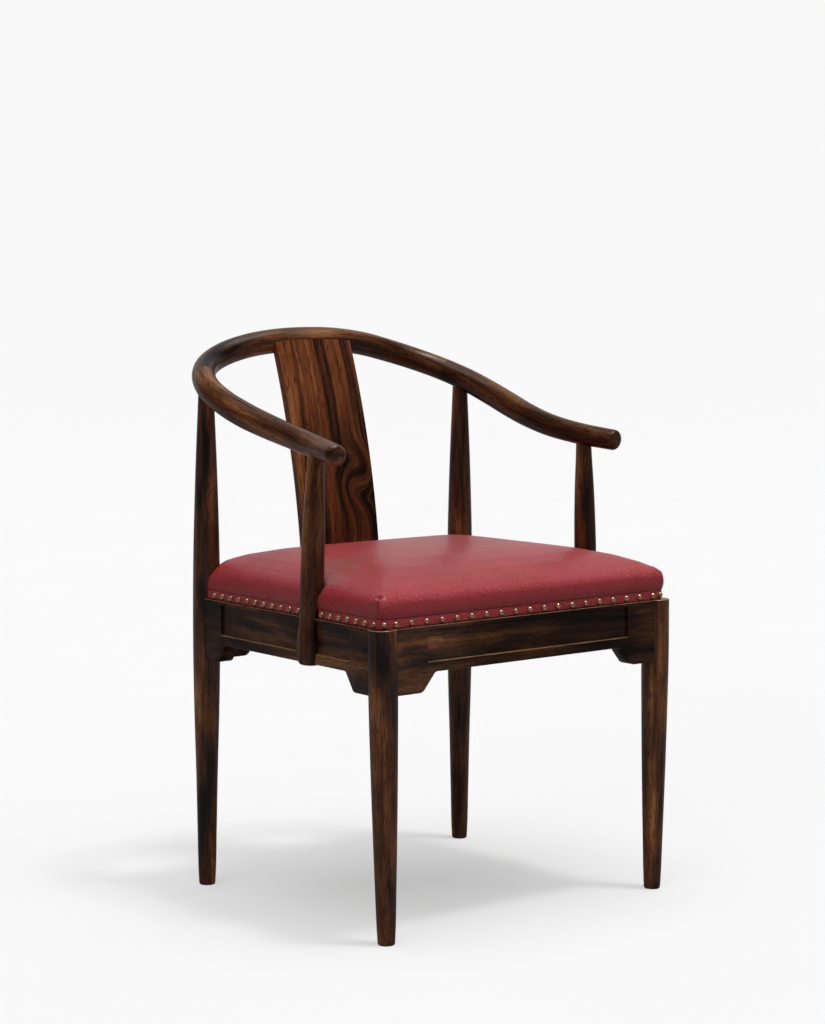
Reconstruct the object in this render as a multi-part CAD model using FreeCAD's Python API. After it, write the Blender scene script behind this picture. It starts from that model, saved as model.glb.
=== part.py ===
"""Horseshoe back armchair with a leather seat, one STEP file per piece.

Millimetres, +Z up. The front of the chair faces -Y and the origin lies on the floor, under the
middle of the chair's length and width.
"""
import FreeCAD, Part
import math
import os
from FreeCAD import Vector

# Overall frame
FRAME_TOP = 400.0
REAR_LEG_X = 226.8
SEAT_FLARE = 10.8
LEG_SPACING = 401.3
CUT_OVERRUN = 4.0
SOFT_CLEARANCE = 0.3

# Legs: radius at the frame, swell at the fullest place, and the smaller radii further down
LEG_RADIUS = 18.3
FRONT_LEG_SWELL = 0.4
REAR_LEG_SWELL = 0.2
FOOT_END_RADIUS = 10.2
FOOT_RADIUS = 11.6
FOOT_ROUND_HEIGHT = 10.0
FRONT_LEG_MIDDLE_RADIUS = 15.9
REAR_LEG_MIDDLE_RADIUS = 14.9
LEG_MIDDLE_HEIGHT_SHARE = 0.39
LEG_FULL_HEIGHT_SHARE = 0.8
FRONT_FOOT_INSET = 4.4
FRONT_FOOT_ADVANCE = 1.9
REAR_FOOT_SPLAY = 1.5
REAR_FOOT_RAKE = 1.4
REAR_POST_MIDDLE_RADIUS = 15.2
REAR_POST_TOP_RADIUS = 10.3

# Seat rails under the leather, called aprons
APRON_HEIGHT = 59.3
APRON_THICKNESS = 24.0
REAR_APRON_THICKNESS = 28.0
APRON_SETBACK = 6.0
REAR_APRON_SETBACK = 8.1
BRACKET_DROP = 25.0
FRONT_BRACKET_FLAT = 37.0
SIDE_BRACKET_FLAT = 27.0
FRONT_BRACKET_RUN = 21.0
SIDE_BRACKET_RUN = 17.0
BRACKET_OUTER_ROUND = 7.0
BRACKET_INNER_ROUND = 5.0
FIELD_DEPTH = 3.2
FIELD_TOP_BAND = 5.0
FIELD_LOWER_BAND = 13.5
FRONT_STILE = 46.0
SIDE_STILE = 36.0
UPSTAND_HEIGHT = 16.0
TENON_THICKNESS = 9.0
TENON_HEIGHT = 50.0
TENON_TOP_SHOULDER = 12.0
TENON_GAP = 0.7
TENON_ROOT = 6.0

# Corner blocks and wood screws
BLOCK_ARM = 52.0
BLOCK_NOSE = 8.0
BLOCK_HEIGHT = 40.0
BLOCK_TOP_GAP = 6.0
BLOCK_SCREW_LIFT = 7.6
BLOCK_SCREW_IN_APRON = 17.0
SCREW_HEAD_RADIUS = 3.8
SCREW_HEAD_HEIGHT = 3.0
SCREW_RADIUS = 1.9
SCREW_POINT = 4.0
BLOCK_SCREW_LENGTH = 36.0
POST_SCREW_LENGTH = 27.0
POST_SCREW_INSET = 15.0

# Arm posts
POST_RADIUS = 15.4
POST_TOP_RADIUS = 10.4
POST_MIDDLE_RADIUS = 14.2
POST_FOOT_DROP = 2.2
POST_FOOT_ROUND = 6.0
POST_STRAIGHT_ABOVE_FRAME = 55.0
POST_MIDDLE_HEIGHT_SHARE = 0.537
POST_PLACE_SHARE = 0.642
POST_AXIS_INBOARD = 2.7
POST_TOP_OUTBOARD = 3.0
POST_LEAN_FORWARD = 4.2
POST_HOUSING_DEPTH = 8.0

# Horseshoe rail
RAIL_OUTSIDE_LEG = 8.2
ARM_PAST_POST = 59.8
RAIL_HEIGHT = 747.5
RAIL_DROP = 136.5
RAIL_RADIUS = 17.4
RAIL_BEHIND_REAR_LEG = 75.1
TIP_ROUND = 8.0
FACET_DEPTH = 1.3
FACET_TILT = 38.0
FACET_REACH = 90.0
ROUND_TENON_RADIUS = 6.5
ROUND_TENON_REACH = 9.0
ROUND_TENON_ROOT = 25.0
TONGUE_LEG_CLEARANCE = 3.5
TONGUE_IN_BACK = 26.0
TONGUE_WIDTH = 18.0
TONGUE_THICKNESS = 8.0
NEAREST_POINT_TRIES = 12
# Each row as shares: across, forward from the rail's middle towards the leg, down, thickness
BACK_PATH_SHARES = (
    (0.0, 0.0, 0.0, 1.0),
    (0.24, 0.0, 0.015, 0.99),
    (0.445, 0.0, 0.062, 0.975),
    (0.63, 0.068, 0.141, 0.96),
    (0.795, 0.319, 0.241, 0.945),
    (0.913, 0.7265, 0.35, 0.945),
)
# Each row as shares: across, forward from the leg towards the tip, down, thickness
ARM_PATH_SHARES = (
    (0.97, 0.028, 0.441, 0.965),
    (1.0, 0.19, 0.586, 0.99),
    (0.992, 0.3236, 0.691, 1.0),
    (0.969, 0.4745, 0.792, 0.955),
    (0.956, 0.629, 0.875, 0.905),
    (0.972, 0.7823, 0.937, 0.865),
    (1.035, 1.0, 1.0, 0.82),
)

# Back splat
SPLAT_WIDTH = 131.0
SPLAT_THICKNESS = 12.4
SPLAT_FOOT_FORWARD = 13.9
SPLAT_BOW = 12.0
SPLAT_TOP_ARCH = 3.4
SPLAT_TENON_WIDTH = 104.0
SPLAT_TENON_THICKNESS = 8.0
SPLAT_TENON_LENGTH = 30.0

# Webbing and hessian
WEBBING_WIDTH = 50.0
WEBBING_THICKNESS = 1.4
CROSS_WEBBING_COUNT = 3
CROSS_WEBBING_PITCH_SHARE = 0.259
LENGTHWISE_WEBBING_SHARES = (-0.728, -0.428, 0.428, 0.728)
WEBBING_BEARING = 13.0
TACK_INSET = 6.0
TACK_PITCH = 17.0
TACKS_PER_END = 3
TACK_HEAD_RADIUS = 3.2
TACK_HEAD_HEIGHT = 0.7
TACK_SHANK_RADIUS = 0.8
TACK_LENGTH = 10.0
HESSIAN_THICKNESS = 0.8
HESSIAN_BEARING = 14.0

# Leather seat
LEATHER_THICKNESS = 1.8
BAND_INSET = 4.0
BAND_THICKNESS = 1.7
BAND_HEIGHT = 12.3
BAND_CORNER = 10.0
COVER_RISE = 61.0
COVER_CORNER = 11.0
COVER_CORNER_GROWTH_SHARE = 0.25
# Each row: height of the section and how far it lies inside the apron's face, as shares
COVER_SECTION_SHARES = (
    (0.0, 0.0135),
    (0.09, 0.0088),
    (0.22, 0.0076),
    (0.34, 0.012),
    (0.43, 0.026),
    (0.51, 0.052),
    (0.62, 0.1),
    (0.76, 0.18),
    (0.88, 0.29),
    (0.965, 0.44),
    (1.0, 0.62),
)
SPLAT_SLOT_GAP = 0.5
STUFFING_GAP = 0.6

# Dome nails
NAIL_RADIUS = 2.9
NAIL_HEIGHT = 2.2
NAIL_SHANK_RADIUS = 0.7
NAIL_LENGTH = 10.0
NAIL_HEIGHT_ON_BAND = 5.6
FRONT_NAIL_COUNT = 19
FRONT_NAIL_INSET = 14.6
REAR_NAIL_COUNT = 17
REAR_NAIL_INSET = 28.8
SIDE_REAR_NAIL_COUNT = 11
SIDE_FRONT_NAIL_COUNT = 7
SIDE_NAIL_LEG_GAP = 33.5
SIDE_NAIL_FRONT_GAP = 6.0
SIDE_NAIL_POST_GAP = 26.0

# Places worked out from the sizes above
FRONT_LEG_X = REAR_LEG_X + SEAT_FLARE
FRONT_LEG_FULL_RADIUS = LEG_RADIUS + FRONT_LEG_SWELL
REAR_LEG_FULL_RADIUS = LEG_RADIUS + REAR_LEG_SWELL
FRONT_REACH = FRONT_LEG_FULL_RADIUS + FRONT_FOOT_ADVANCE * (1 - LEG_FULL_HEIGHT_SHARE)
OVERALL_DEPTH = FRONT_REACH + LEG_SPACING + RAIL_BEHIND_REAR_LEG + RAIL_RADIUS
FRONT_LEG_Y = FRONT_REACH - OVERALL_DEPTH / 2
REAR_LEG_Y = FRONT_LEG_Y + LEG_SPACING
POST_FORWARD_OF_REAR_LEG = LEG_SPACING * POST_PLACE_SHARE
POST_Y = REAR_LEG_Y - POST_FORWARD_OF_REAR_LEG
RAIL_BACK_Y = REAR_LEG_Y + RAIL_BEHIND_REAR_LEG
RAIL_HALF_SPAN = REAR_LEG_X + RAIL_OUTSIDE_LEG
ARM_REACH = POST_FORWARD_OF_REAR_LEG + ARM_PAST_POST
FRONT_FACE_Y = FRONT_LEG_Y - LEG_RADIUS + APRON_SETBACK
REAR_FACE_Y = REAR_LEG_Y + LEG_RADIUS - REAR_APRON_SETBACK
SIDE_FACE_FRONT_X = FRONT_LEG_X + LEG_RADIUS - APRON_SETBACK
SIDE_FACE_REAR_X = REAR_LEG_X + LEG_RADIUS - APRON_SETBACK
APRON_BOTTOM = FRAME_TOP - APRON_HEIGHT
UPSTAND_TOP = FRAME_TOP + UPSTAND_HEIGHT
UPSTAND_INSET = BAND_INSET + BAND_THICKNESS + SOFT_CLEARANCE
BAND_BASE = FRAME_TOP + SOFT_CLEARANCE
COVER_BASE = BAND_BASE + BAND_HEIGHT + SOFT_CLEARANCE
BLOCK_SCREW_DEPTH = BLOCK_SCREW_LENGTH - BLOCK_SCREW_IN_APRON
CROSS_WEBBING_PITCH = LEG_SPACING * CROSS_WEBBING_PITCH_SHARE
UP = Vector(0, 0, 1)


def rounded_wire(corners, height=0.0):
    """A closed wire at one height through (x, y, radius) corners, each rounded by its radius."""
    arcs = []
    count = len(corners)
    for index, (x, y, radius) in enumerate(corners):
        here = Vector(x, y, height)
        before = Vector(*corners[index - 1][:2], height) - here
        after = Vector(*corners[(index + 1) % count][:2], height) - here
        half_angle = before.getAngle(after) / 2
        before.normalize()
        after.normalize()
        reach = radius / math.tan(half_angle)
        inward = (before + after).normalize()
        centre = here + inward * (radius / math.sin(half_angle))
        arcs.append((here + before * reach, centre - inward * radius, here + after * reach))
    edges = []
    for index, (start, middle, end) in enumerate(arcs):
        if corners[index][2]:
            edges.append(Part.Arc(start, middle, end).toShape())
        edges.append(Part.LineSegment(end, arcs[(index + 1) % count][0]).toShape())
    return Part.Wire(edges)


def rounded_board(corners, thickness):
    """A board whose outline stands in the XZ plane and whose thickness runs from y = 0 inwards."""
    face = Part.Face(rounded_wire(corners))
    board = face.extrude(Vector(0, 0, thickness))
    board.rotate(Vector(0, 0, 0), Vector(1, 0, 0), 90)
    board.translate(Vector(0, thickness, 0))
    return board


def box(x_from, x_to, y_from, y_to, z_from, z_to):
    corner = Vector(min(x_from, x_to), min(y_from, y_to), min(z_from, z_to))
    sizes = (abs(x_to - x_from), abs(y_to - y_from), abs(z_to - z_from))
    return Part.makeBox(*sizes, corner)


def turned(profile_edges):
    """A solid turned about the Z axis from edges in the XZ plane."""
    face = Part.Face(Part.Wire(profile_edges))
    return face.revolve(Vector(0, 0, 0), UP, 360)


def line(x_from, z_from, x_to, z_to):
    return Part.LineSegment(Vector(x_from, 0, z_from), Vector(x_to, 0, z_to)).toShape()


def curve(x_from, z_from, x_by, z_by, x_to, z_to):
    ends = (Vector(x_from, 0, z_from), Vector(x_by, 0, z_by), Vector(x_to, 0, z_to))
    return Part.Arc(*ends).toShape()


def leaned(shape, foot, top):
    """Moves a shape that stands on the Z axis so that its axis runs from foot to top."""
    direction = (top - foot).normalize()
    turn = FreeCAD.Rotation(UP, direction)
    placed = shape.copy()
    placed.Placement = FreeCAD.Placement(foot, turn)
    return placed


def mirrored(shape):
    return shape.mirror(Vector(0, 0, 0), Vector(1, 0, 0))


def joined(shapes):
    result = shapes[0]
    for shape in shapes[1:]:
        result = result.fuse(shape)
    return result.removeSplitter()


def largest(shape):
    return max(shape.Solids, key=lambda solid: solid.Volume)


class FaceLine:
    """The line along an apron's outer face, with the chair's inside on its left."""

    def __init__(self, start, end):
        self.start = start
        self.length = (end - start).Length
        self.angle = math.degrees(math.atan2(end.y - start.y, end.x - start.x))

    def place(self, shape):
        placed = shape.copy()
        placed.rotate(Vector(0, 0, 0), UP, self.angle)
        placed.translate(self.start)
        return placed


FRONT_LINE = FaceLine(Vector(-FRONT_LEG_X, FRONT_FACE_Y, 0), Vector(FRONT_LEG_X, FRONT_FACE_Y, 0))
REAR_LINE = FaceLine(Vector(REAR_LEG_X, REAR_FACE_Y, 0), Vector(-REAR_LEG_X, REAR_FACE_Y, 0))
RIGHT_LINE = FaceLine(
    Vector(SIDE_FACE_FRONT_X, FRONT_LEG_Y, 0), Vector(SIDE_FACE_REAR_X, REAR_LEG_Y, 0)
)


def side_face_x(y):
    """Where the right side apron's outer face lies at a given depth."""
    share = (y - FRONT_LEG_Y) / LEG_SPACING
    return SIDE_FACE_FRONT_X + (SIDE_FACE_REAR_X - SIDE_FACE_FRONT_X) * share


# Legs and arm posts

def leg_profile(full_radius, middle_radius, end_edges, end_height):
    middle_height = FRAME_TOP * LEG_MIDDLE_HEIGHT_SHARE
    full_height = FRAME_TOP * LEG_FULL_HEIGHT_SHARE
    foot_middle = (FOOT_END_RADIUS + FOOT_RADIUS * 2) / 3
    edges = [
        line(0, 0, FOOT_END_RADIUS, 0),
        curve(FOOT_END_RADIUS, 0, foot_middle, FOOT_ROUND_HEIGHT / 3,
              FOOT_RADIUS, FOOT_ROUND_HEIGHT),
        curve(FOOT_RADIUS, FOOT_ROUND_HEIGHT, middle_radius, middle_height,
              full_radius, full_height),
    ]
    edges += end_edges
    edges.append(line(0, end_height, 0, 0))
    return edges


def front_leg_round():
    """The right front leg as a leaning round, running up through the upstand."""
    full_height = FRAME_TOP * LEG_FULL_HEIGHT_SHARE
    end_height = UPSTAND_TOP
    end_edges = [
        line(FRONT_LEG_FULL_RADIUS, full_height, LEG_RADIUS, FRAME_TOP),
        line(LEG_RADIUS, FRAME_TOP, LEG_RADIUS, end_height),
        line(LEG_RADIUS, end_height, 0, end_height),
    ]
    profile = leg_profile(FRONT_LEG_FULL_RADIUS, FRONT_LEG_MIDDLE_RADIUS, end_edges, end_height)
    foot = Vector(FRONT_LEG_X - FRONT_FOOT_INSET, FRONT_LEG_Y - FRONT_FOOT_ADVANCE, 0)
    return leaned(turned(profile), foot, Vector(FRONT_LEG_X, FRONT_LEG_Y, FRAME_TOP))


def rear_leg_axis():
    foot = Vector(REAR_LEG_X + REAR_FOOT_SPLAY, REAR_LEG_Y + REAR_FOOT_RAKE, 0)
    return foot, Vector(REAR_LEG_X, REAR_LEG_Y, FRAME_TOP)


def rear_leg_round(extra=0.0):
    """The right rear leg up to the middle of the rail, grown by an extra radius for cutting."""
    foot, at_frame = rear_leg_axis()
    top = rail_over(at_frame.x, at_frame.y).z
    full_height = FRAME_TOP * LEG_FULL_HEIGHT_SHARE
    swell_top = FRAME_TOP + (FRAME_TOP - full_height) / 2
    post_middle = (swell_top + top) / 2
    end_edges = [
        line(REAR_LEG_FULL_RADIUS + extra, full_height, LEG_RADIUS + extra, swell_top),
        curve(LEG_RADIUS + extra, swell_top, REAR_POST_MIDDLE_RADIUS + extra, post_middle,
              REAR_POST_TOP_RADIUS + extra, top),
        line(REAR_POST_TOP_RADIUS + extra, top, 0, top),
    ]
    full_radius = REAR_LEG_FULL_RADIUS + extra
    profile = leg_profile(full_radius, REAR_LEG_MIDDLE_RADIUS, end_edges, top)
    return leaned(turned(profile), foot, at_frame)


def post_axis():
    """The foot of the right arm post's leaning axis and the place where it enters the rail."""
    foot = Vector(side_face_x(POST_Y) - POST_AXIS_INBOARD, POST_Y, APRON_BOTTOM - POST_FOOT_DROP)
    top = rail_over(RAIL_HALF_SPAN, POST_Y - POST_LEAN_FORWARD)
    return foot, top + Vector(POST_TOP_OUTBOARD, 0, 0)


def post_round(extra=0.0):
    """The right arm post up to the middle of the rail, grown by an extra radius for cutting."""
    foot, top = post_axis()
    end = (top - foot).Length
    radius = POST_RADIUS + extra
    end_radius = POST_RADIUS - POST_FOOT_ROUND
    round_middle = POST_FOOT_ROUND * (1 - math.sqrt(0.5))
    straight = FRAME_TOP + POST_STRAIGHT_ABOVE_FRAME - foot.z
    tapered = end - RAIL_RADIUS
    middle = straight + (tapered - straight) * POST_MIDDLE_HEIGHT_SHARE
    top_radius = POST_TOP_RADIUS + extra
    profile = [
        line(0, 0, end_radius, 0),
        curve(end_radius, 0, POST_RADIUS - round_middle, round_middle, radius, POST_FOOT_ROUND),
        line(radius, POST_FOOT_ROUND, radius, straight),
        curve(radius, straight, POST_MIDDLE_RADIUS + extra, middle, top_radius, tapered),
        line(top_radius, tapered, top_radius, end),
        line(top_radius, end, 0, end),
        line(0, end, 0, 0),
    ]
    return leaned(turned(profile), foot, top)


def round_tenon(axis_foot, axis_top, middle):
    """A round tenon on an upright's axis, from below the rail to a little above its middle."""
    direction = (axis_top - axis_foot).normalize()
    reach = (middle.z - axis_foot.z) / direction.z
    start = axis_foot + direction * (reach - ROUND_TENON_ROOT)
    length = ROUND_TENON_ROOT + ROUND_TENON_REACH
    return Part.makeCylinder(ROUND_TENON_RADIUS, length, start, direction)


# Horseshoe rail

def half_path(side):
    """Points and radii along half of the horseshoe, from the middle of the back to the tip."""
    places = []
    for start_y, reach, rows in (
        (RAIL_BACK_Y, RAIL_BEHIND_REAR_LEG, BACK_PATH_SHARES),
        (REAR_LEG_Y, ARM_REACH, ARM_PATH_SHARES),
    ):
        for across, forward, down, thickness in rows:
            point = Vector(
                side * RAIL_HALF_SPAN * across, start_y - reach * forward, RAIL_HEIGHT - RAIL_DROP * down
            )
            places.append((point, RAIL_RADIUS * thickness))
    return places


def whole_path():
    """Points and radii along the whole horseshoe, from the left tip to the right tip."""
    return half_path(-1)[:0:-1] + half_path(1)


def rail_curve():
    spline = Part.BSplineCurve()
    spline.interpolate([point for point, _ in whole_path()])
    return spline


def rail_over(x, y):
    """The point of the rail's middle line that lies beside an upright at x and y."""
    spline = rail_curve()
    found = Vector(x, y, RAIL_HEIGHT)
    for _ in range(NEAREST_POINT_TRIES):
        found = spline.value(spline.parameter(Vector(x, y, found.z)))
    return found


def path_frame(spline, point):
    """Directions along, across and above the rail at a point of its path."""
    along = spline.tangent(spline.parameter(point))[0]
    across = along.cross(UP).normalize()
    above = across.cross(along).normalize()
    return along, across, above


def rail_section(spline, point, radius):
    """A round section, drawn as four quarter arcs that all start at the same side."""
    _, across, above = path_frame(spline, point)
    edges = []
    for quarter in range(4):
        angles = [math.radians(45 + 90 * quarter + step) for step in (0, 45, 90)]
        arc = [point + across * (radius * math.cos(a)) + above * (radius * math.sin(a)) for a in angles]
        edges.append(Part.Arc(*arc).toShape())
    return Part.Wire(edges)


def rail_length(places):
    """A length of the rail through the given points and radii."""
    spline = rail_curve()
    return Part.makeLoft([rail_section(spline, point, radius) for point, radius in places], True, False)


def back_rail_round():
    """The middle length of the rail, from splice to splice."""
    past_splice = len(ARM_PATH_SHARES)
    return rail_length(whole_path()[past_splice:-past_splice])


def arm_round():
    """The right arm of the rail, from the splice to its blunt tip."""
    arm = rail_length(half_path(1)[len(BACK_PATH_SHARES) - 1:])
    tip = half_path(1)[-1][0]
    end_face = min(arm.Faces, key=lambda face: (face.CenterOfMass - tip).Length)
    return arm.makeFillet(TIP_ROUND, end_face.Edges)


def splice_tongue():
    """The loose tongue that crosses the splice and stops clear of the rear leg's tenon."""
    joint = half_path(1)[len(BACK_PATH_SHARES) - 1][0]
    _, leg_axis = rear_leg_axis()
    leg_gap = (rail_over(leg_axis.x, leg_axis.y) - joint).Length
    in_arm = leg_gap - ROUND_TENON_RADIUS - TONGUE_LEG_CLEARANCE
    along, _, above = path_frame(rail_curve(), joint)
    tongue = Part.makeBox(
        in_arm + TONGUE_IN_BACK, TONGUE_WIDTH, TONGUE_THICKNESS,
        Vector(-TONGUE_IN_BACK, -TONGUE_WIDTH / 2, -TONGUE_THICKNESS / 2),
    )
    turn = FreeCAD.Rotation(along, above.cross(along), above, "XZY")
    tongue.Placement = FreeCAD.Placement(joint, turn)
    return tongue


def facet_cutter():
    """A flat shaved on the rail's upper front edge above the splat."""
    centre = Vector(0, RAIL_BACK_Y, RAIL_HEIGHT)
    cutter = Part.makeBox(
        2 * FACET_REACH, RAIL_RADIUS, 2 * RAIL_RADIUS,
        Vector(-FACET_REACH, FACET_DEPTH - 2 * RAIL_RADIUS, -RAIL_RADIUS),
    )
    cutter.rotate(Vector(0, 0, 0), Vector(1, 0, 0), -FACET_TILT)
    cutter.translate(centre)
    return cutter


# Back splat

def splat_board(extra=0.0, foot=UPSTAND_TOP):
    """The curved splat board, its front face in line with the front of the rail at the top."""
    foot_y = REAR_LEG_Y - SPLAT_FOOT_FORWARD
    top_y = RAIL_BACK_Y - RAIL_RADIUS
    middle_z = (UPSTAND_TOP + RAIL_HEIGHT) / 2
    middle_y = (foot_y + top_y) / 2 - SPLAT_BOW
    front = Part.Arc(
        Vector(0, foot_y, UPSTAND_TOP), Vector(0, middle_y, middle_z), Vector(0, top_y, RAIL_HEIGHT)
    ).toShape()
    front.translate(Vector(0, -extra, 0))
    back = front.copy()
    back.translate(Vector(0, SPLAT_THICKNESS + 2 * extra, 0))
    low_front, high_front = front.Vertexes[0].Point, front.Vertexes[-1].Point
    low_back, high_back = back.Vertexes[0].Point, back.Vertexes[-1].Point
    edges = [
        front,
        Part.LineSegment(high_front, high_back).toShape(),
        back,
        Part.LineSegment(low_back, low_front).toShape(),
    ]
    face = Part.Face(Part.Wire(Part.sortEdges(edges)[0]))
    half = SPLAT_WIDTH / 2 + extra
    face.translate(Vector(-half, 0, 0))
    board = face.extrude(Vector(2 * half, 0, 0))
    if foot < UPSTAND_TOP:
        front_y, back_y = foot_y - extra, foot_y + SPLAT_THICKNESS + extra
        board = board.fuse(box(-half, half, front_y, back_y, foot, UPSTAND_TOP))
    return board


def splat_arch():
    """The arched outline that the top of the splat keeps to."""
    half = SPLAT_WIDTH / 2
    low, high = RAIL_HEIGHT - SPLAT_TOP_ARCH, RAIL_HEIGHT
    top = Part.Arc(Vector(half, 0, low), Vector(0, 0, high), Vector(-half, 0, low)).toShape()
    corners = [Vector(-half, 0, low), Vector(-half, 0, 0), Vector(half, 0, 0), Vector(half, 0, low)]
    sides = [Part.LineSegment(corners[i], corners[i + 1]).toShape() for i in range(3)]
    face = Part.Face(Part.Wire([top] + sides))
    return face.extrude(Vector(0, OVERALL_DEPTH, 0))


def splat_tenon():
    middle_y = REAR_LEG_Y - SPLAT_FOOT_FORWARD + SPLAT_THICKNESS / 2
    half_width, half_depth = SPLAT_TENON_WIDTH / 2, SPLAT_TENON_THICKNESS / 2
    low = UPSTAND_TOP - SPLAT_TENON_LENGTH
    return box(-half_width, half_width, middle_y - half_depth, middle_y + half_depth, low, UPSTAND_TOP)


# Aprons

def apron_outline(length, bracket_flat, bracket_run):
    low = APRON_BOTTOM - BRACKET_DROP
    flat = LEG_RADIUS + bracket_flat
    inner = flat + bracket_run
    return [
        (0, FRAME_TOP, 0),
        (0, low, 0),
        (flat, low, BRACKET_OUTER_ROUND),
        (inner, APRON_BOTTOM, BRACKET_INNER_ROUND),
        (length - inner, APRON_BOTTOM, BRACKET_INNER_ROUND),
        (length - flat, low, BRACKET_OUTER_ROUND),
        (length, low, 0),
        (length, FRAME_TOP, 0),
    ]


def sunk_field(length, stile):
    """The cutter for the sunk field, whose lower edge slopes outwards."""
    start = LEG_RADIUS + stile
    low, high = APRON_BOTTOM + FIELD_LOWER_BAND, FRAME_TOP - FIELD_TOP_BAND
    profile = [
        Vector(start, -CUT_OVERRUN, high),
        Vector(start, FIELD_DEPTH, high),
        Vector(start, FIELD_DEPTH, low + FIELD_DEPTH / 2),
        Vector(start, 0, low),
        Vector(start, -CUT_OVERRUN, low),
    ]
    face = Part.Face(Part.makePolygon(profile + profile[:1]))
    return face.extrude(Vector(length - 2 * start, 0, 0))


def apron_board(face_line, thickness, bracket_flat, bracket_run, stile=None):
    """An apron from leg axis to leg axis, with its upstand and, where it shows, its sunk field."""
    length = face_line.length
    board = rounded_board(apron_outline(length, bracket_flat, bracket_run), thickness)
    if stile:
        board = board.cut(sunk_field(length, stile))
    upstand = box(0, length, UPSTAND_INSET, thickness, FRAME_TOP, UPSTAND_TOP)
    return face_line.place(joined([board, upstand]))


def tenon_boxes(face_line, setback):
    """The two tenons of an apron, in line with the legs' axes and stopping short of them."""
    middle = LEG_RADIUS - setback
    high = FRAME_TOP - TENON_TOP_SHOULDER
    boxes = []
    short_of_axis = TENON_THICKNESS / 2 + TENON_GAP
    root = LEG_RADIUS + TENON_ROOT
    for start in (short_of_axis, face_line.length - root):
        end = start + root - short_of_axis
        tenon = box(
            start, end, middle - TENON_THICKNESS / 2, middle + TENON_THICKNESS / 2,
            high - TENON_HEIGHT, high,
        )
        boxes.append(face_line.place(tenon))
    return boxes


def seat_outline(inset, radius, height):
    """The seat's plan at one height: the aprons' outer faces drawn in by an inset."""
    front, rear = FRONT_FACE_Y + inset, REAR_FACE_Y - inset
    front_x, rear_x = side_face_x(front) - inset, side_face_x(rear) - inset
    corners = [
        (-front_x, front, radius), (front_x, front, radius), (rear_x, rear, radius), (-rear_x, rear, radius)
    ]
    return rounded_wire(corners, height)


def seat_prism(inset, radius, low, high):
    return Part.Face(seat_outline(inset, radius, low)).extrude(Vector(0, 0, high - low))


def post_housing_clearer():
    """The slab that trims an arm post's inner side flat, from its foot to the apron's upstand."""
    slab = box(0, RIGHT_LINE.length, POST_HOUSING_DEPTH, SIDE_FACE_FRONT_X, 0, UPSTAND_TOP)
    return RIGHT_LINE.place(slab)


# Glue blocks and screws

def corner_block(front):
    """The right glue block at the front or rear corner, its nose trimmed by the leg."""
    face_y = FRONT_FACE_Y + APRON_THICKNESS if front else REAR_FACE_Y - REAR_APRON_THICKNESS
    inward = 1 if front else -1
    corner_x = side_face_x(face_y) - APRON_THICKNESS
    far_y = face_y + inward * BLOCK_ARM
    far_x = side_face_x(far_y) - APRON_THICKNESS
    high = UPSTAND_TOP - BLOCK_TOP_GAP
    corners = [
        Vector(corner_x, face_y, high),
        Vector(corner_x - BLOCK_ARM, face_y, high),
        Vector(corner_x - BLOCK_ARM, face_y + inward * BLOCK_NOSE, high),
        Vector(far_x - BLOCK_NOSE, far_y, high),
        Vector(far_x, far_y, high),
    ]
    face = Part.Face(Part.makePolygon(corners + corners[:1]))
    return face.extrude(Vector(0, 0, -BLOCK_HEIGHT))


def wood_screw(length):
    """A countersunk screw on the Z axis, its head's flat at z = 0 and its point upwards."""
    shank_end = length - SCREW_POINT
    edges = [
        line(0, 0, SCREW_HEAD_RADIUS, 0),
        line(SCREW_HEAD_RADIUS, 0, SCREW_RADIUS, SCREW_HEAD_HEIGHT),
        line(SCREW_RADIUS, SCREW_HEAD_HEIGHT, SCREW_RADIUS, shank_end),
        line(SCREW_RADIUS, shank_end, 0, length),
        line(0, length, 0, 0),
    ]
    return turned(edges)


def screw_bore(length, back):
    """The room that a screw takes, with a straight bore for the driver behind its head."""
    bore = Part.makeCylinder(SCREW_HEAD_RADIUS, back, Vector(0, 0, -back))
    return joined([wood_screw(length), bore])


def block_screw_placements():
    """Heads and directions of the two screws through each right corner block."""
    places = []
    for front in (True, False):
        face_y = FRONT_FACE_Y + APRON_THICKNESS if front else REAR_FACE_Y - REAR_APRON_THICKNESS
        outward = -1 if front else 1
        corner_x = side_face_x(face_y) - APRON_THICKNESS
        height = UPSTAND_TOP - BLOCK_TOP_GAP - BLOCK_HEIGHT / 2
        offset = BLOCK_ARM - BLOCK_SCREW_DEPTH
        offset_y = face_y - outward * offset
        offset_x = side_face_x(offset_y) - APRON_THICKNESS
        through_end = Vector(
            corner_x - offset, face_y - outward * BLOCK_SCREW_DEPTH, height + BLOCK_SCREW_LIFT
        )
        through_side = Vector(offset_x - BLOCK_SCREW_DEPTH, offset_y, height - BLOCK_SCREW_LIFT)
        places.append((through_end, Vector(0, outward, 0)))
        places.append((through_side, Vector(1, 0, 0)))
    return places


def post_screw_placements():
    """Heads and directions of the two screws from inside the right side apron into the post."""
    places = []
    for height in (APRON_BOTTOM + POST_SCREW_INSET, FRAME_TOP - POST_SCREW_INSET):
        head_x = side_face_x(POST_Y) - APRON_THICKNESS
        places.append((Vector(head_x, POST_Y, height), Vector(1, 0, 0)))
    return places


def set_along(shape, places):
    """Copies of a shape that stands on the Z axis, one at each point and direction."""
    return [leaned(shape, head, head + direction) for head, direction in places]


# Webbing, tacks and hessian

def inner_reach_y():
    """The front and rear inner faces of the aprons."""
    return FRONT_FACE_Y + APRON_THICKNESS, REAR_FACE_Y - REAR_APRON_THICKNESS


def cross_webbing_rows():
    """Where the cross strips lie: the arm posts stand midway between the first two."""
    first = POST_Y - CROSS_WEBBING_PITCH / 2
    return [first + CROSS_WEBBING_PITCH * index for index in range(CROSS_WEBBING_COUNT)]


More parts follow.
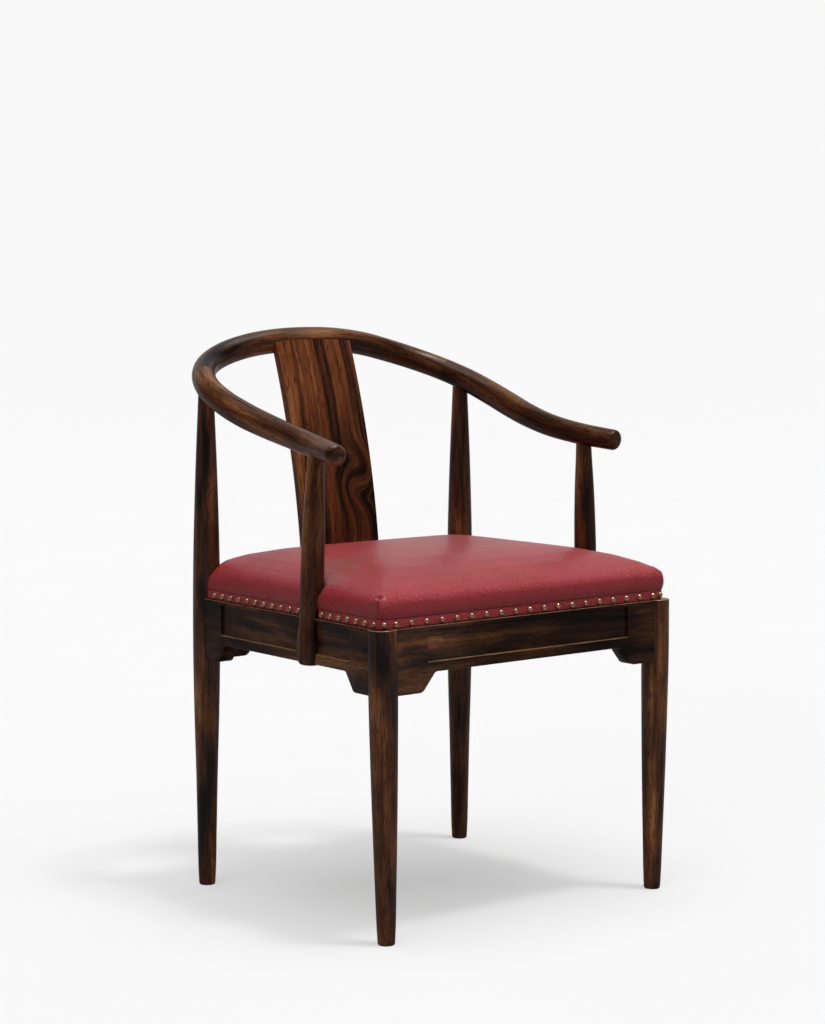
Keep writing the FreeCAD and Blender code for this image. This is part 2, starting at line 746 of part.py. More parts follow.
def cross_webbing():
    """Strips from side to side on top of the aprons' upstands."""
    strips = []
    half = WEBBING_WIDTH / 2
    for y in cross_webbing_rows():
        reach = side_face_x(y + half) - APRON_THICKNESS + WEBBING_BEARING
        strips.append(box(-reach, reach, y - half, y + half, UPSTAND_TOP, UPSTAND_TOP + WEBBING_THICKNESS))
    return strips


def lengthwise_webbing_columns():
    return [REAR_LEG_X * share for share in LENGTHWISE_WEBBING_SHARES]


def lengthwise_webbing():
    """Strips from front to rear that lie on the cross strips and step down onto the aprons."""
    front, rear = inner_reach_y()
    half = WEBBING_WIDTH / 2
    low = UPSTAND_TOP + WEBBING_THICKNESS
    strips = []
    for x in lengthwise_webbing_columns():
        strip = box(x - half, x + half, front - WEBBING_BEARING, rear + WEBBING_BEARING,
                    low, low + WEBBING_THICKNESS)
        ends = [
            box(x - half, x + half, front - WEBBING_BEARING, front, UPSTAND_TOP, low),
            box(x - half, x + half, rear, rear + WEBBING_BEARING, UPSTAND_TOP, low),
        ]
        strips.append(joined([strip] + ends))
    return strips


def tack():
    """A tack on the Z axis with its head's underside at z = 0 and its point downwards."""
    head = Part.makeCylinder(TACK_HEAD_RADIUS, TACK_HEAD_HEIGHT)
    shank = Part.makeCone(0, TACK_SHANK_RADIUS, TACK_LENGTH, Vector(0, 0, -TACK_LENGTH))
    return joined([head, shank])


def tack_places():
    front, rear = inner_reach_y()
    spread = [TACK_PITCH * (index - (TACKS_PER_END - 1) / 2) for index in range(TACKS_PER_END)]
    cross_top = UPSTAND_TOP + WEBBING_THICKNESS
    lengthwise_top = cross_top + WEBBING_THICKNESS
    places = []
    for y in cross_webbing_rows():
        for side in (-1, 1):
            for step in spread:
                x = side * (side_face_x(y) - APRON_THICKNESS + TACK_INSET)
                places.append(Vector(x, y + step, cross_top))
    for x in lengthwise_webbing_columns():
        for y in (front - TACK_INSET, rear + TACK_INSET):
            places += [Vector(x + step, y, lengthwise_top) for step in spread]
    return places


def hessian():
    """The cloth over the webbing, cut round the uprights and the splat."""
    low = UPSTAND_TOP + 2 * WEBBING_THICKNESS + TACK_HEAD_HEIGHT
    cloth = seat_prism(APRON_THICKNESS - HESSIAN_BEARING, COVER_CORNER, low, low + HESSIAN_THICKNESS)
    cloth = cloth.cut(splat_board(STUFFING_GAP, COVER_BASE))
    for upright in seat_uprights(STUFFING_GAP):
        cloth = cloth.cut(upright)
    return largest(cloth)


# Leather seat

def cushion(inward):
    """The crowned seat form, drawn in by an amount all round and from above."""
    sections = []
    for height_share, inset_share in COVER_SECTION_SHARES:
        inset = SIDE_FACE_FRONT_X * inset_share
        height = COVER_BASE + COVER_RISE * height_share - inward
        radius = COVER_CORNER - inward + inset * COVER_CORNER_GROWTH_SHARE
        sections.append(seat_outline(inset + inward, radius, height))
    return Part.makeLoft(sections, True, True)


def seat_uprights(gap):
    """Everything that the seat is cut round, grown by a gap."""
    right = [rear_leg_round(gap), post_round(gap)]
    return right + [mirrored(shape) for shape in right]


def seat_cover():
    low = COVER_BASE - LEATHER_THICKNESS - CUT_OVERRUN
    inner = cushion(LEATHER_THICKNESS)
    floor_cut = seat_prism(0, COVER_CORNER, low, COVER_BASE - LEATHER_THICKNESS)
    cover = cushion(0).cut(inner).cut(floor_cut)
    cover = cover.cut(splat_board(SPLAT_SLOT_GAP, COVER_BASE - CUT_OVERRUN))
    for upright in seat_uprights(SOFT_CLEARANCE):
        cover = cover.cut(upright)
    return largest(cover)


def stuffing():
    low = UPSTAND_TOP + 2 * WEBBING_THICKNESS + TACK_HEAD_HEIGHT + HESSIAN_THICKNESS + SOFT_CLEARANCE
    form = cushion(LEATHER_THICKNESS + SOFT_CLEARANCE)
    below = seat_prism(0, COVER_CORNER, COVER_BASE - 2 * CUT_OVERRUN, low)
    form = form.cut(below).cut(splat_board(STUFFING_GAP, COVER_BASE - 2 * CUT_OVERRUN))
    for upright in seat_uprights(STUFFING_GAP):
        form = form.cut(upright)
    return largest(form)


def leather_bands(holes):
    """The nailed leather band, cut into its four lengths by the rear legs and arm posts."""
    high = BAND_BASE + BAND_HEIGHT
    outer = seat_prism(BAND_INSET, BAND_CORNER, BAND_BASE, high)
    inner = seat_prism(BAND_INSET + BAND_THICKNESS, BAND_CORNER - BAND_THICKNESS, BAND_BASE, high)
    ring = outer.cut(inner)
    for upright in seat_uprights(SOFT_CLEARANCE):
        ring = ring.cut(upright)
    ring = ring.cut(holes)
    bands = {}
    for solid in ring.Solids:
        centre = solid.CenterOfMass
        if centre.y > REAR_LEG_Y:
            bands["leather_band_rear"] = solid
        elif centre.y < POST_Y:
            bands["leather_band_front"] = solid
        elif centre.x < 0:
            bands["leather_band_left"] = solid
        else:
            bands["leather_band_right"] = solid
    return bands


# Dome nails

def dome_nail():
    """A dome nail on the Z axis, the underside of its dome at z = 0 and its point upwards."""
    mid_radius = NAIL_RADIUS * math.sqrt(0.5)
    mid_height = -NAIL_HEIGHT * math.sqrt(0.5)
    shank_end = NAIL_LENGTH - 2 * NAIL_SHANK_RADIUS
    edges = [
        curve(0, -NAIL_HEIGHT, mid_radius, mid_height, NAIL_RADIUS, 0),
        line(NAIL_RADIUS, 0, NAIL_SHANK_RADIUS, 0),
        line(NAIL_SHANK_RADIUS, 0, NAIL_SHANK_RADIUS, shank_end),
        line(NAIL_SHANK_RADIUS, shank_end, 0, NAIL_LENGTH),
        line(0, NAIL_LENGTH, 0, -NAIL_HEIGHT),
    ]
    return turned(edges)


def spaced(first, last, count):
    return [first + (last - first) * index / (count - 1) for index in range(count)]


def nail_places():
    """Points on the band's outer face and directions into the wood, for each group of nails."""
    height = BAND_BASE + NAIL_HEIGHT_ON_BAND
    front_y, rear_y = FRONT_FACE_Y + BAND_INSET, REAR_FACE_Y - BAND_INSET
    front = [
        (Vector(x, front_y, height), Vector(0, 1, 0))
        for x in spaced(-FRONT_LEG_X + FRONT_NAIL_INSET, FRONT_LEG_X - FRONT_NAIL_INSET, FRONT_NAIL_COUNT)
    ]
    diagonal = math.sqrt(0.5)
    corner_x = side_face_x(front_y) - BAND_INSET - BAND_CORNER * (1 - diagonal)
    corner_y = front_y + BAND_CORNER * (1 - diagonal)
    for side in (-1, 1):
        front.append((Vector(side * corner_x, corner_y, height), Vector(-side * diagonal, diagonal, 0)))
    rear = [
        (Vector(x, rear_y, height), Vector(0, -1, 0))
        for x in spaced(-REAR_LEG_X + REAR_NAIL_INSET, REAR_LEG_X - REAR_NAIL_INSET, REAR_NAIL_COUNT)
    ]
    rows = spaced(REAR_LEG_Y - SIDE_NAIL_LEG_GAP, POST_Y + SIDE_NAIL_POST_GAP, SIDE_REAR_NAIL_COUNT)
    front_row = FRONT_LEG_Y + SIDE_NAIL_FRONT_GAP
    rows += spaced(POST_Y - SIDE_NAIL_POST_GAP, front_row, SIDE_FRONT_NAIL_COUNT)
    right = [(Vector(side_face_x(y) - BAND_INSET, y, height), Vector(-1, 0, 0)) for y in rows]
    left = [(Vector(-head.x, head.y, head.z), Vector(1, 0, 0)) for head, _ in right]
    return {"nails_front": front, "nails_rear": rear, "nails_left": left, "nails_right": right}


def build():
    """Every node of the chair by name."""
    nodes = {}
    legs = {"front": front_leg_round(), "rear": rear_leg_round()}
    post = post_round().cut(post_housing_clearer())
    nail_groups = {name: set_along(dome_nail(), places) for name, places in nail_places().items()}
    all_nails = Part.makeCompound([nail for group in nail_groups.values() for nail in group])
    tacks = []
    for place in tack_places():
        shape = tack()
        shape.translate(place)
        tacks.append(shape)
    all_tacks = Part.makeCompound(tacks)

    # Aprons
    left_line = FaceLine(
        Vector(-SIDE_FACE_REAR_X, REAR_LEG_Y, 0), Vector(-SIDE_FACE_FRONT_X, FRONT_LEG_Y, 0)
    )
    all_legs = [legs["front"], legs["rear"], mirrored(legs["front"]), mirrored(legs["rear"])]
    block_screws = set_along(wood_screw(BLOCK_SCREW_LENGTH), block_screw_placements())
    block_bores = set_along(screw_bore(BLOCK_SCREW_LENGTH, BLOCK_ARM), block_screw_placements())
    post_screws = set_along(wood_screw(POST_SCREW_LENGTH), post_screw_placements())
    block_screws += [mirrored(screw) for screw in block_screws]
    post_screws += [mirrored(screw) for screw in post_screws]
    block_bores += [mirrored(bore) for bore in block_bores]
    screws = Part.makeCompound(block_screws + post_screws)

    side_form = (APRON_THICKNESS, SIDE_BRACKET_FLAT, SIDE_BRACKET_RUN, SIDE_STILE)
    front_form = (APRON_THICKNESS, FRONT_BRACKET_FLAT, FRONT_BRACKET_RUN, FRONT_STILE)
    rear_form = (REAR_APRON_THICKNESS, FRONT_BRACKET_FLAT, FRONT_BRACKET_RUN, None)
    boards = {
        "side_apron_right": (RIGHT_LINE, APRON_SETBACK, side_form),
        "side_apron_left": (left_line, APRON_SETBACK, side_form),
        "front_apron": (FRONT_LINE, APRON_SETBACK, front_form),
        "rear_apron": (REAR_LINE, REAR_APRON_SETBACK, rear_form),
    }
    tenons = []
    for name, (face_line, setback, form) in boards.items():
        board = apron_board(face_line, *form)
        for leg in all_legs:
            board = board.cut(leg)
        if name == "rear_apron":
            board = board.cut(nodes["side_apron_right"]).cut(nodes["side_apron_left"])
            board = board.cut(splat_tenon())
        board = board.cut(post).cut(mirrored(post))
        own_tenons = tenon_boxes(face_line, setback)
        tenons += own_tenons
        board = joined([largest(board)] + own_tenons)
        nodes[name] = largest(board.cut(screws).cut(all_nails).cut(all_tacks))

    # Legs
    back_rail, arm = back_rail_round(), arm_round()
    core_corner = BAND_CORNER + BAND_INSET - UPSTAND_INSET
    core = seat_prism(UPSTAND_INSET, core_corner, FRAME_TOP, UPSTAND_TOP)
    below_frame = box(0, OVERALL_DEPTH, -OVERALL_DEPTH, OVERALL_DEPTH, 0, FRAME_TOP)
    front_leg = joined([legs["front"].common(below_frame), legs["front"].common(core)])
    foot, at_frame = rear_leg_axis()
    above_floor = box(0, OVERALL_DEPTH, -OVERALL_DEPTH, OVERALL_DEPTH, 0, RAIL_HEIGHT)
    rear_tenon = round_tenon(foot, at_frame, rail_over(at_frame.x, at_frame.y))
    post_foot, post_top = post_axis()
    post_tenon = round_tenon(post_foot, post_top, rail_over(post_top.x, post_top.y))
    rear_leg = joined([legs["rear"].cut(arm).cut(back_rail).common(above_floor), rear_tenon])
    arm_post = joined([post.cut(arm), post_tenon]).cut(screws)
    for tenon in tenons:
        front_leg = front_leg.cut(tenon)
        rear_leg = rear_leg.cut(tenon)
    front_leg = front_leg.cut(all_nails)
    rear_leg = rear_leg.cut(all_nails)
    nodes["front_leg_right"] = largest(front_leg)
    nodes["rear_leg_right"] = largest(rear_leg)
    nodes["arm_post_right"] = largest(arm_post)

    # Rail and splat
    tongue = splice_tongue()
    splat = splat_board().common(splat_arch())
    nodes["arm_right"] = largest(arm.cut(rear_tenon).cut(post_tenon).cut(tongue))
    back_rail = back_rail.cut(facet_cutter()).cut(splat).cut(tongue).cut(mirrored(tongue))
    nodes["rail_back"] = largest(back_rail.cut(rear_tenon).cut(mirrored(rear_tenon)))
    nodes["back_splat"] = joined([splat, splat_tenon()])
    nodes["rail_joint_tongues"] = Part.makeCompound([tongue, mirrored(tongue)])

    # Glue blocks
    for front, name in ((True, "corner_block_front_right"), (False, "corner_block_rear_right")):
        block = corner_block(front)
        for leg in legs.values():
            block = block.cut(leg)
        for bore in block_bores:
            block = block.cut(bore)
        nodes[name] = largest(block)

    for name in [name for name in nodes if name.endswith("_right") and "apron" not in name]:
        nodes[name.replace("_right", "_left")] = mirrored(nodes[name])

    nodes["corner_block_screws"] = Part.makeCompound(block_screws)
    nodes["arm_post_screws"] = Part.makeCompound(post_screws)
    nodes["webbing_cross"] = Part.makeCompound([strip.cut(all_tacks) for strip in cross_webbing()])
    lengthwise = [strip.cut(all_tacks) for strip in lengthwise_webbing()]
    nodes["webbing_lengthwise"] = Part.makeCompound(lengthwise)
    nodes["webbing_tacks"] = all_tacks
    nodes["seat_hessian"] = hessian()
    nodes["seat_stuffing"] = stuffing()
    nodes["seat_cover"] = seat_cover()
    nodes.update(leather_bands(all_nails))
    for name, group in nail_groups.items():
        nodes[name] = Part.makeCompound(group)
    return nodes


def report_nodes(nodes):
    whole = Part.makeCompound(list(nodes.values())).BoundBox
    print("box x %.1f %.1f y %.1f %.1f z %.1f %.1f" % (
        whole.XMin, whole.XMax, whole.YMin, whole.YMax, whole.ZMin, whole.ZMax))
    for name, shape in sorted(nodes.items()):
        state = "valid" if shape.isValid() else "NOT VALID"
        print("%-28s %2d solids %10.0f mm3 %s" % (name, len(shape.Solids), shape.Volume, state))


os.makedirs("parts", exist_ok=True)
chair = build()
for node_name, node_shape in chair.items():
    node_shape.exportStep("parts/%s.step" % node_name)
report_nodes(chair)
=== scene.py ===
"""Horseshoe back armchair with a nailed leather seat, dressed for its picture.

Metres, +Z up, the front of the chair faces -Y. Laid out as a Blender add-on and run as a script.
"""
import functools
import math
import random

import bmesh
import bpy
from bpy.props import FloatProperty, IntProperty, StringProperty
from mathutils import Matrix, Vector, noise


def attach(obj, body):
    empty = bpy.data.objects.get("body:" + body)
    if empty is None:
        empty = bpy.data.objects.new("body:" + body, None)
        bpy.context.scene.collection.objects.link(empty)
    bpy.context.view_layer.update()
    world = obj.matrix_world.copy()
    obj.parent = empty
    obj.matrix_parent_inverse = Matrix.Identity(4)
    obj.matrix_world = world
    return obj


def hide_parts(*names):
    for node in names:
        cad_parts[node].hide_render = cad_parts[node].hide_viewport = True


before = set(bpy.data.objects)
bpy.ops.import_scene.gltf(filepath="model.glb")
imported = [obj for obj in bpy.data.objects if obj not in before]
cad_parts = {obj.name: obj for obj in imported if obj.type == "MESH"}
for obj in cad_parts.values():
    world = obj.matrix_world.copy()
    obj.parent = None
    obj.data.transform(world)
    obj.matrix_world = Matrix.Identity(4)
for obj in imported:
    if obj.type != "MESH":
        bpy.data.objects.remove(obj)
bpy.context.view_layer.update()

bl_info = {
    "name": "Horseshoe back armchair",
    "version": (1, 0, 0),
    "blender": (4, 5, 0),
    "location": "View3D > Sidebar > Armchair",
    "description": "Builds the rosewood and leather armchair piece by piece around its frame",
    "category": "Add Mesh",
}

# Places that the frame gives, in metres
FRAME_TOP = 0.4
FRONT_LEG = Vector((0.2376, -0.23736, FRAME_TOP))
REAR_LEG_X = 0.2268
REAR_LEG = Vector((REAR_LEG_X, 0.16394, FRAME_TOP))
LEG_SPACING = 0.4013
FRONT_FOOT = Vector((0.2332, -0.23926, 0.0))
REAR_FOOT = Vector((0.2283, 0.16534, 0.0))
LEG_RADIUS = 0.0183
FRONT_FACE_Y = -0.24966
REAR_FACE_Y = 0.17414
SIDE_FACE_X = (0.2499, 0.2391)
APRON_BOTTOM = 0.3407
APRON_THICKNESS = 0.024
REAR_APRON_THICKNESS = 0.028
UPSTAND_TOP = 0.416
POST_Y = -0.09369
POST_FOOT_Z = 0.3385
POST_RADIUS = 0.0154
RAIL_BACK_Y = 0.23904
RAIL_HEIGHT = 0.7475
RAIL_DROP = 0.1365
RAIL_HALF_SPAN = 0.235
RAIL_BEHIND_LEG = 0.0751
ARM_REACH = 0.31743
RAIL_RADIUS = 0.0174
SPLAT_HALF = 0.0655
SPLAT_THICKNESS = 0.0124
SEAT_BASE = 0.4129
BAND_BASE = 0.4003
BAND_HEIGHT = 0.0123

# Small sizes of the frame
UPRIGHT_TOP_GAP = 0.004
LEG_RIM_HEIGHT = 0.0008
LEG_RIM_SHARE = 0.955
POST_SET_IN = 0.0027
POST_HOUSING = 0.008
POST_TOP_OUT = 0.003
POST_TOP_AHEAD = 0.0042
TIP_ROUND = 0.0065
SPLICE_STEP = 0.0003
SPLICE_CHAMFER = 0.0004
FACET_ANGLE = 38
FACET_DEPTH = 0.0013
FACET_REACH = 0.085
FACET_EDGE = 0.0004
SPLICE_WEAR_REACH = 0.03
SPLAT_BEFORE_LEG = 0.0139
SPLAT_BOW = 0.012
SPLAT_FOOT_Z = 0.405
SPLAT_INTO_RAIL = 0.002
SPLAT_TOP_DROP = 0.0034
SPLAT_DARK_BELOW = 0.575
KNOT = Vector((0.040, 0.55))
KNOT_REACH = 0.030
KNOT_TURN = 1.7
BRACKET_DROP = 0.025
FIELD_DEPTH = 0.0032
FIELD_ABOVE_BOTTOM = 0.0135
FIELD_BELOW_TOP = 0.005
UPSTAND_INSET = 0.006
UPSTAND_OVERLAP = 0.001
SIDE_BRACKET = (0.0453, 0.017)
END_BRACKET = (0.0553, 0.021)
BRACKET_ROUNDS = (0.0042, 0.003)
SIDE_STILE = 0.036
FRONT_STILE = 0.046
APRON_LENGTHS = 24

# Sizes of the upholstery
SEAT_HALF_WIDTH = 0.246
SEAT_HALF_DEPTH = 0.212
SEAT_CUT_GAP = 0.0005
SPLAT_CUT_GAP = 0.0006
SPLAT_CUT_Y = 0.15004
SPLAT_DIP_Y = 0.1575
DIP_REACH = 0.005
PIT = Vector((0.008, 0.014, 0.0272))
PIT_WIDTH = 0.0032
BAND_INSET = 0.00485
BAND_CORNER = 0.00915
BAND_HALF_THICKNESS = 0.00085
BAND_GAP = 0.0004
BAND_SWELL = 0.0004
NAIL_INSET = 0.004
NAIL_ABOVE_BASE = 0.0056
NAIL_CORNER = 0.01
CORNER_NAIL_TURNS = ((-1, 27), (1, 4))
FRONT_NAIL_REACH = 0.223
REAR_NAIL_REACH = 0.198
NAIL_BEFORE_REAR_LEG = 0.0335
NAIL_BESIDE_POST = 0.026
NAIL_BEHIND_FRONT_LEG = 0.006
DOME_RIM = 0.0002
DOME_RISE = 0.0039
STRIP_WIDTH = 0.05
STRIP_THICKNESS = 0.0013
STRIP_WAVE = 0.0008
STRIP_ABOVE_UPSTAND = 0.0015
STRIP_CROSSING = 0.03
STRIP_BEARING = {"front": 0.013, "rear": 0.017, "side": 0.011}
HESSIAN_BEARING = {"front": 0.012, "rear": 0.016, "side": 0.022}
LENGTHWISE_SHARES = (-0.728, -0.428, 0.428, 0.728)
CROSS_SHARE = 0.259
HESSIAN_Z = 0.4199

# Shares across, forward and down, and the thickness, along half of the horseshoe
BACK_PATH = (
    (0.0, 0.0, 0.0, 1.0),
    (0.24, 0.0, 0.015, 0.99),
    (0.445, 0.0, 0.062, 0.975),
    (0.63, 0.068, 0.141, 0.96),
    (0.795, 0.319, 0.241, 0.945),
    (0.913, 0.7265, 0.35, 0.945),
)
ARM_PATH = (
    (0.97, 0.028, 0.441, 0.965),
    (1.0, 0.19, 0.586, 0.99),
    (0.992, 0.3236, 0.691, 1.0),
    (0.969, 0.4745, 0.792, 0.955),
    (0.956, 0.629, 0.875, 0.905),
    (0.972, 0.7823, 0.937, 0.865),
    (1.035, 1.0, 1.0, 0.82),
)
# Inset from the aprons' faces and height above the seat's base, up the wall and over the crown
SEAT_PROFILE = (
    (0.0034, 0.0), (0.0022, 0.0055), (0.0019, 0.0134), (0.0030, 0.0207), (0.0065, 0.0262),
    (0.013, 0.0311), (0.025, 0.0378), (0.045, 0.0464), (0.0725, 0.0537), (0.11, 0.0589), (0.155, 0.061),
)
# Inset and height of the rings that turn the leather in below its fold, the last on the hessian
TURN_IN = ((0.0045, SEAT_BASE - 0.0002), (0.0058, SEAT_BASE + 0.0008), (0.0062, 0.4212))
# Length up each turned piece and its radius there
FOOT_TURNING = ((0.0, 0.0100), (0.0010, 0.0108), (0.003, 0.0112), (0.010, 0.0116))
FRONT_TURNING = FOOT_TURNING + (
    (0.078, 0.0138), (0.156, 0.0159), (0.24, 0.0176), (0.32, 0.0187), (0.392, LEG_RADIUS),
    (0.3992, LEG_RADIUS),
)
REAR_TURNING = FOOT_TURNING + (
    (0.078, 0.0133), (0.156, 0.0149), (0.24, 0.0172), (0.32, 0.0185), (0.44, LEG_RADIUS), (0.565, 0.0152),
)
POST_TURNING = (
    (0.0, 0.0094), (0.0008, 0.0122), (0.0026, 0.0143), (0.006, POST_RADIUS), (0.06, POST_RADIUS),
    (0.1165, POST_RADIUS), (0.197, 0.0138),
)
# Where in the log each piece is cut, and how light its wood is; apron tones and painted shade come next
CUTS = {
    "front_leg": ((0.62, 0.33, 0.16), 0.9), "rear_leg": ((0.7, 0.5, 0.3), 1.0),
    "arm_post": ((1.1, 0.9, 0.2), 0.72), "back_splat": ((5.0, 0.045, 0.0), 1.12),
    "front_apron": (6.0, 0.2, 0.0), "rear_apron": (7.0, 0.4, 0.1),
    "side_apron_right": (8.0, 0.7, 0.2), "side_apron_left": (9.0, 0.9, 0.4),
}
# Places along each apron and its tone there: the boards are browner near the front left corner
STAINS_AND_SHADE = {
    "front_apron": (
        (0.0, 1.2), (0.08, 1.2), (0.14, 0.44), (0.2, 0.22), (0.25, 0.32), (0.3, 0.2), (0.39, 0.2),
        (0.43, 0.38), (0.4752, 0.38),
    ),
    # The rear board's low tone is painted shade, for the dark inside the frame
    "rear_apron": ((0.0, 0.26), (0.46, 0.26)),
    "side_apron_right": ((0.0, 0.44), (0.06, 0.5), (0.12, 0.58), (0.15, 0.38), (0.35, 0.31), (0.4013, 0.36)),
    "side_apron_left": ((0.0, 0.4), (0.05, 0.34), (0.25, 0.42), (0.28, 0.66), (0.34, 0.56), (0.4013, 0.48)),
}
# Patterns to the metre along and across the grain, detail, roughness and share of the colour:
# zones of heartwood 30 to 40 mm across, streaks 7 to 9 mm wide, fibre lines 1.5 mm apart
PLAIN_FIGURE = ((7.0, 34.0, 2.0, 0.5, 1.25), (5.0, 110.0, 4.0, 0.6, 0.8), (16.0, 680.0, 3.0, 0.6, 0.35))
SPLAT_FIGURE = ((3.0, 26.0, 2.0, 0.5, 1.1), (2.5, 150.0, 4.0, 0.6, 0.85), (16.0, 680.0, 3.0, 0.6, 0.35))
# Centre, reach and strength of the places where the leather is rubbed pale
RUBBED_PATCHES = (
    (Vector((-0.205, -0.110, 0.455)), 0.03, 0.8),
    (Vector((-0.17, -0.08, 0.465)), 0.045, 0.4),
    (Vector((0.03, 0.03, 0.474)), 0.11, 0.22),
)
# Name, place, width in degrees and strength of each lamp
LAMPS = (
    ("overhead_softbox", (0.0, -0.3, 3.4), 60, 1.9),
    ("overhead_lamp", (0.6, -0.8, 3.4), 9, 0.95),
    ("left_softbox", (-3.0, -1.0, 1.4), 35, 0.42),
    ("right_softbox", (2.4, -2.4, 1.5), 14, 0.26),
)
CAMERA_PLACE = Vector((-2.1398, -2.63856, 0.8327))
CAMERA_AIM = Vector((-0.01436, -0.02188, 0.51755))
CAMERA_LENS = 87.45
UP = Vector((0, 0, 1))
OILED = ["rosewood_oiled"]
# Finishes of a piece whose up-facing arrises are pale, as wear and as painted highlight
RUBBED_AND_LIT = ["rosewood_oiled", "rosewood_rubbed_edge"]


def colour(name, default, where):
    """A colour that a user may change."""
    return StringProperty(name=name, description="sRGB hex of " + where, default=default)


def number(name, default, low, high, what):
    """A whole number that a user may change."""
    return IntProperty(name=name, description=what, default=default, min=low, max=high)


def length(name, default, low, high, what):
    """A length that a user may change."""
    return FloatProperty(name=name, description=what, default=default, min=low, max=high, unit="LENGTH")


class WoodFinish(bpy.types.PropertyGroup):
    """Colours and wear of the rosewood."""

    dark: colour("Dark streaks", "#140a06", "the darkest grain")
    body: colour("Body", "#4d2d17", "the common colour")
    red: colour("Red streaks", "#6f3f20", "the red-brown grain")
    light: colour("Light streaks", "#9c683a", "the palest grain")
    figured_body: colour("Splat body", "#5a3018", "the splat's common colour")
    figured_red: colour("Splat red", "#7f4420", "the splat's orange grain")
    figured_light: colour("Splat light", "#a87044", "the splat's palest grain")
    # The pale edge colour: wear, and on the up-facing arrises also a painted highlight
    worn: colour("Worn edges", "#8c6d51", "rubbed arrises")
    edge: length("Softened edge", 0.0009, 0.0002, 0.004, "Width of the rubbed arrises")


class LeatherFinish(bpy.types.PropertyGroup):
    """Colours and grain of the seat leather."""

    face: colour("Leather", "#b23b40", "the leather's face")
    deep: colour("Deep tone", "#8c2329", "the leather's darker clouds")
    rubbed: colour("Rubbed tone", "#966a5c", "the leather where it has rubbed pale")
    # Painted shade: this colour is laid into the pits, folds and tucks and along the foot of the seat's wall
    shadow: colour("Crease tone", "#2a0d0e", "the pits, folds and tucks")
    pebble: length("Pebble size", 0.0028, 0.0005, 0.01, "Width of one pebble of the grain")


class SeatSizes(bpy.types.PropertyGroup):
    """Sizes of the upholstered seat."""

    columns: number("Columns", 236, 24, 260, "Mesh columns across the seat")
    rows: number("Rows", 216, 24, 260, "Mesh rows from front to back")
    corner: length("Corner radius", 0.010, 0.002, 0.05, "Rounding of the seat's corners")
    lean: length("Lean", 0.0038, 0.0, 0.02, "How far the side walls lean in as they rise")
    tuck: length("Tuck", 0.004, 0.0, 0.02, "How far the leather dips round an upright")
    nail: length("Nail radius", 0.0041, 0.001, 0.01, "Radius of a dome nail")


# Small tools

def linear(hex_colour):
    """An sRGB hex colour as linear red, green, blue and a full alpha."""
    parts = [int(hex_colour[i:i + 2], 16) / 255 for i in (1, 3, 5)]
    return tuple(p / 12.92 if p <= 0.04045 else ((p + 0.055) / 1.055) ** 2.4 for p in parts) + (1.0,)


def add_node(tree, kind, inputs=None, out=0, stops=(), **settings):
    """Adds a shader node and gives one of its outputs.

    Settings are the node's own values. Inputs are values, hex colours or sockets, and stops fill a
    ramp with hex colours."""
    node = tree.nodes.new("ShaderNode" + kind)
    for key, value in settings.items():
        setattr(node, key, value)
    for key, value in (inputs or {}).items():
        if isinstance(value, bpy.types.NodeSocket):
            tree.links.new(value, node.inputs[key])
        else:
            node.inputs[key].default_value = linear(value) if isinstance(value, str) else value
    for number, (place, tint) in enumerate(stops):
        while len(node.color_ramp.elements) <= number:
            node.color_ramp.elements.new(1.0)
        node.color_ramp.elements[number].position = place
        node.color_ramp.elements[number].color = linear(tint)
    return node.outputs[out] if node.outputs else None


def smooth_line(points, step):
    """Points about a step apart on a smooth line through the given vectors of any size."""
    gaps = [max((b - a).length, 1e-9) for a, b in zip(points, points[1:])]
    slopes = []
    for i, point in enumerate(points):
        if i == 0:
            slopes.append((points[1] - point) / gaps[0])
        elif i == len(points) - 1:
            slopes.append((point - points[i - 1]) / gaps[-1])
        else:
            before, after = (point - points[i - 1]) / gaps[i - 1], (points[i + 1] - point) / gaps[i]
            slopes.append((before * gaps[i] + after * gaps[i - 1]) / (gaps[i] + gaps[i - 1]))
    line = []
    for i, gap in enumerate(gaps):
        count = max(1, round(gap / step))
        for j in range(count):
            t = j / count
            line.append(
                points[i] * (2 * t ** 3 - 3 * t ** 2 + 1) + slopes[i] * (gap * (t ** 3 - 2 * t ** 2 + t))
                + points[i + 1] * (3 * t ** 2 - 2 * t ** 3) + slopes[i + 1] * (gap * (t ** 3 - t ** 2))
            )
    return line + [points[-1].copy()]


def between(rows, value):
    """Reads a table of (place, value) rows at a place, straight between its rows."""
    for (a, low), (b, high) in zip(rows, rows[1:]):
        if value <= b:
            return low + (high - low) * max(0.0, (value - a) / (b - a))
    return rows[-1][1]


def spaced(first, last, count):
    """Evenly spaced numbers, both ends included."""
    return [first + (last - first) * i / (count - 1) for i in range(count)]


def rising(value, start, run):
    """Rises from 0 at the start to 1 at the end of the run."""
    return min(1.0, max(0.0, (value - start) / run))


def bell(distance, width):
    """Falls smoothly from 1 at no distance to almost nothing at twice the width."""
    return math.exp(-(distance / width) ** 2)


def placed(centre, along, side=Vector((1, 0, 0)), width=1.0, depth=1.0):
    """A matrix that puts a unit section in the XY plane at a centre, facing along a direction."""
    along = along.normalized()
    across = (side - along * side.dot(along)).normalized()
    other = along.cross(across)
    turn = Matrix((across * width, other * depth, along)).transposed().to_4x4()
    return Matrix.Translation(centre) @ turn


def facing(direction):
    """A turn that points +Z along a direction."""
    return direction.to_track_quat("Z", "Y").to_matrix().to_4x4()


def circle(count):
    """Points round a unit circle."""
    return [(math.cos(2 * math.pi * i / count), math.sin(2 * math.pi * i / count)) for i in range(count)]


def grain_layers(bm):
    """The layers that keep each point's place in the log and the tone of its wood."""
    vectors, numbers = bm.verts.layers.float_vector, bm.verts.layers.float
    return vectors.get("grain") or vectors.new("grain"), numbers.get("tone") or numbers.new("tone")


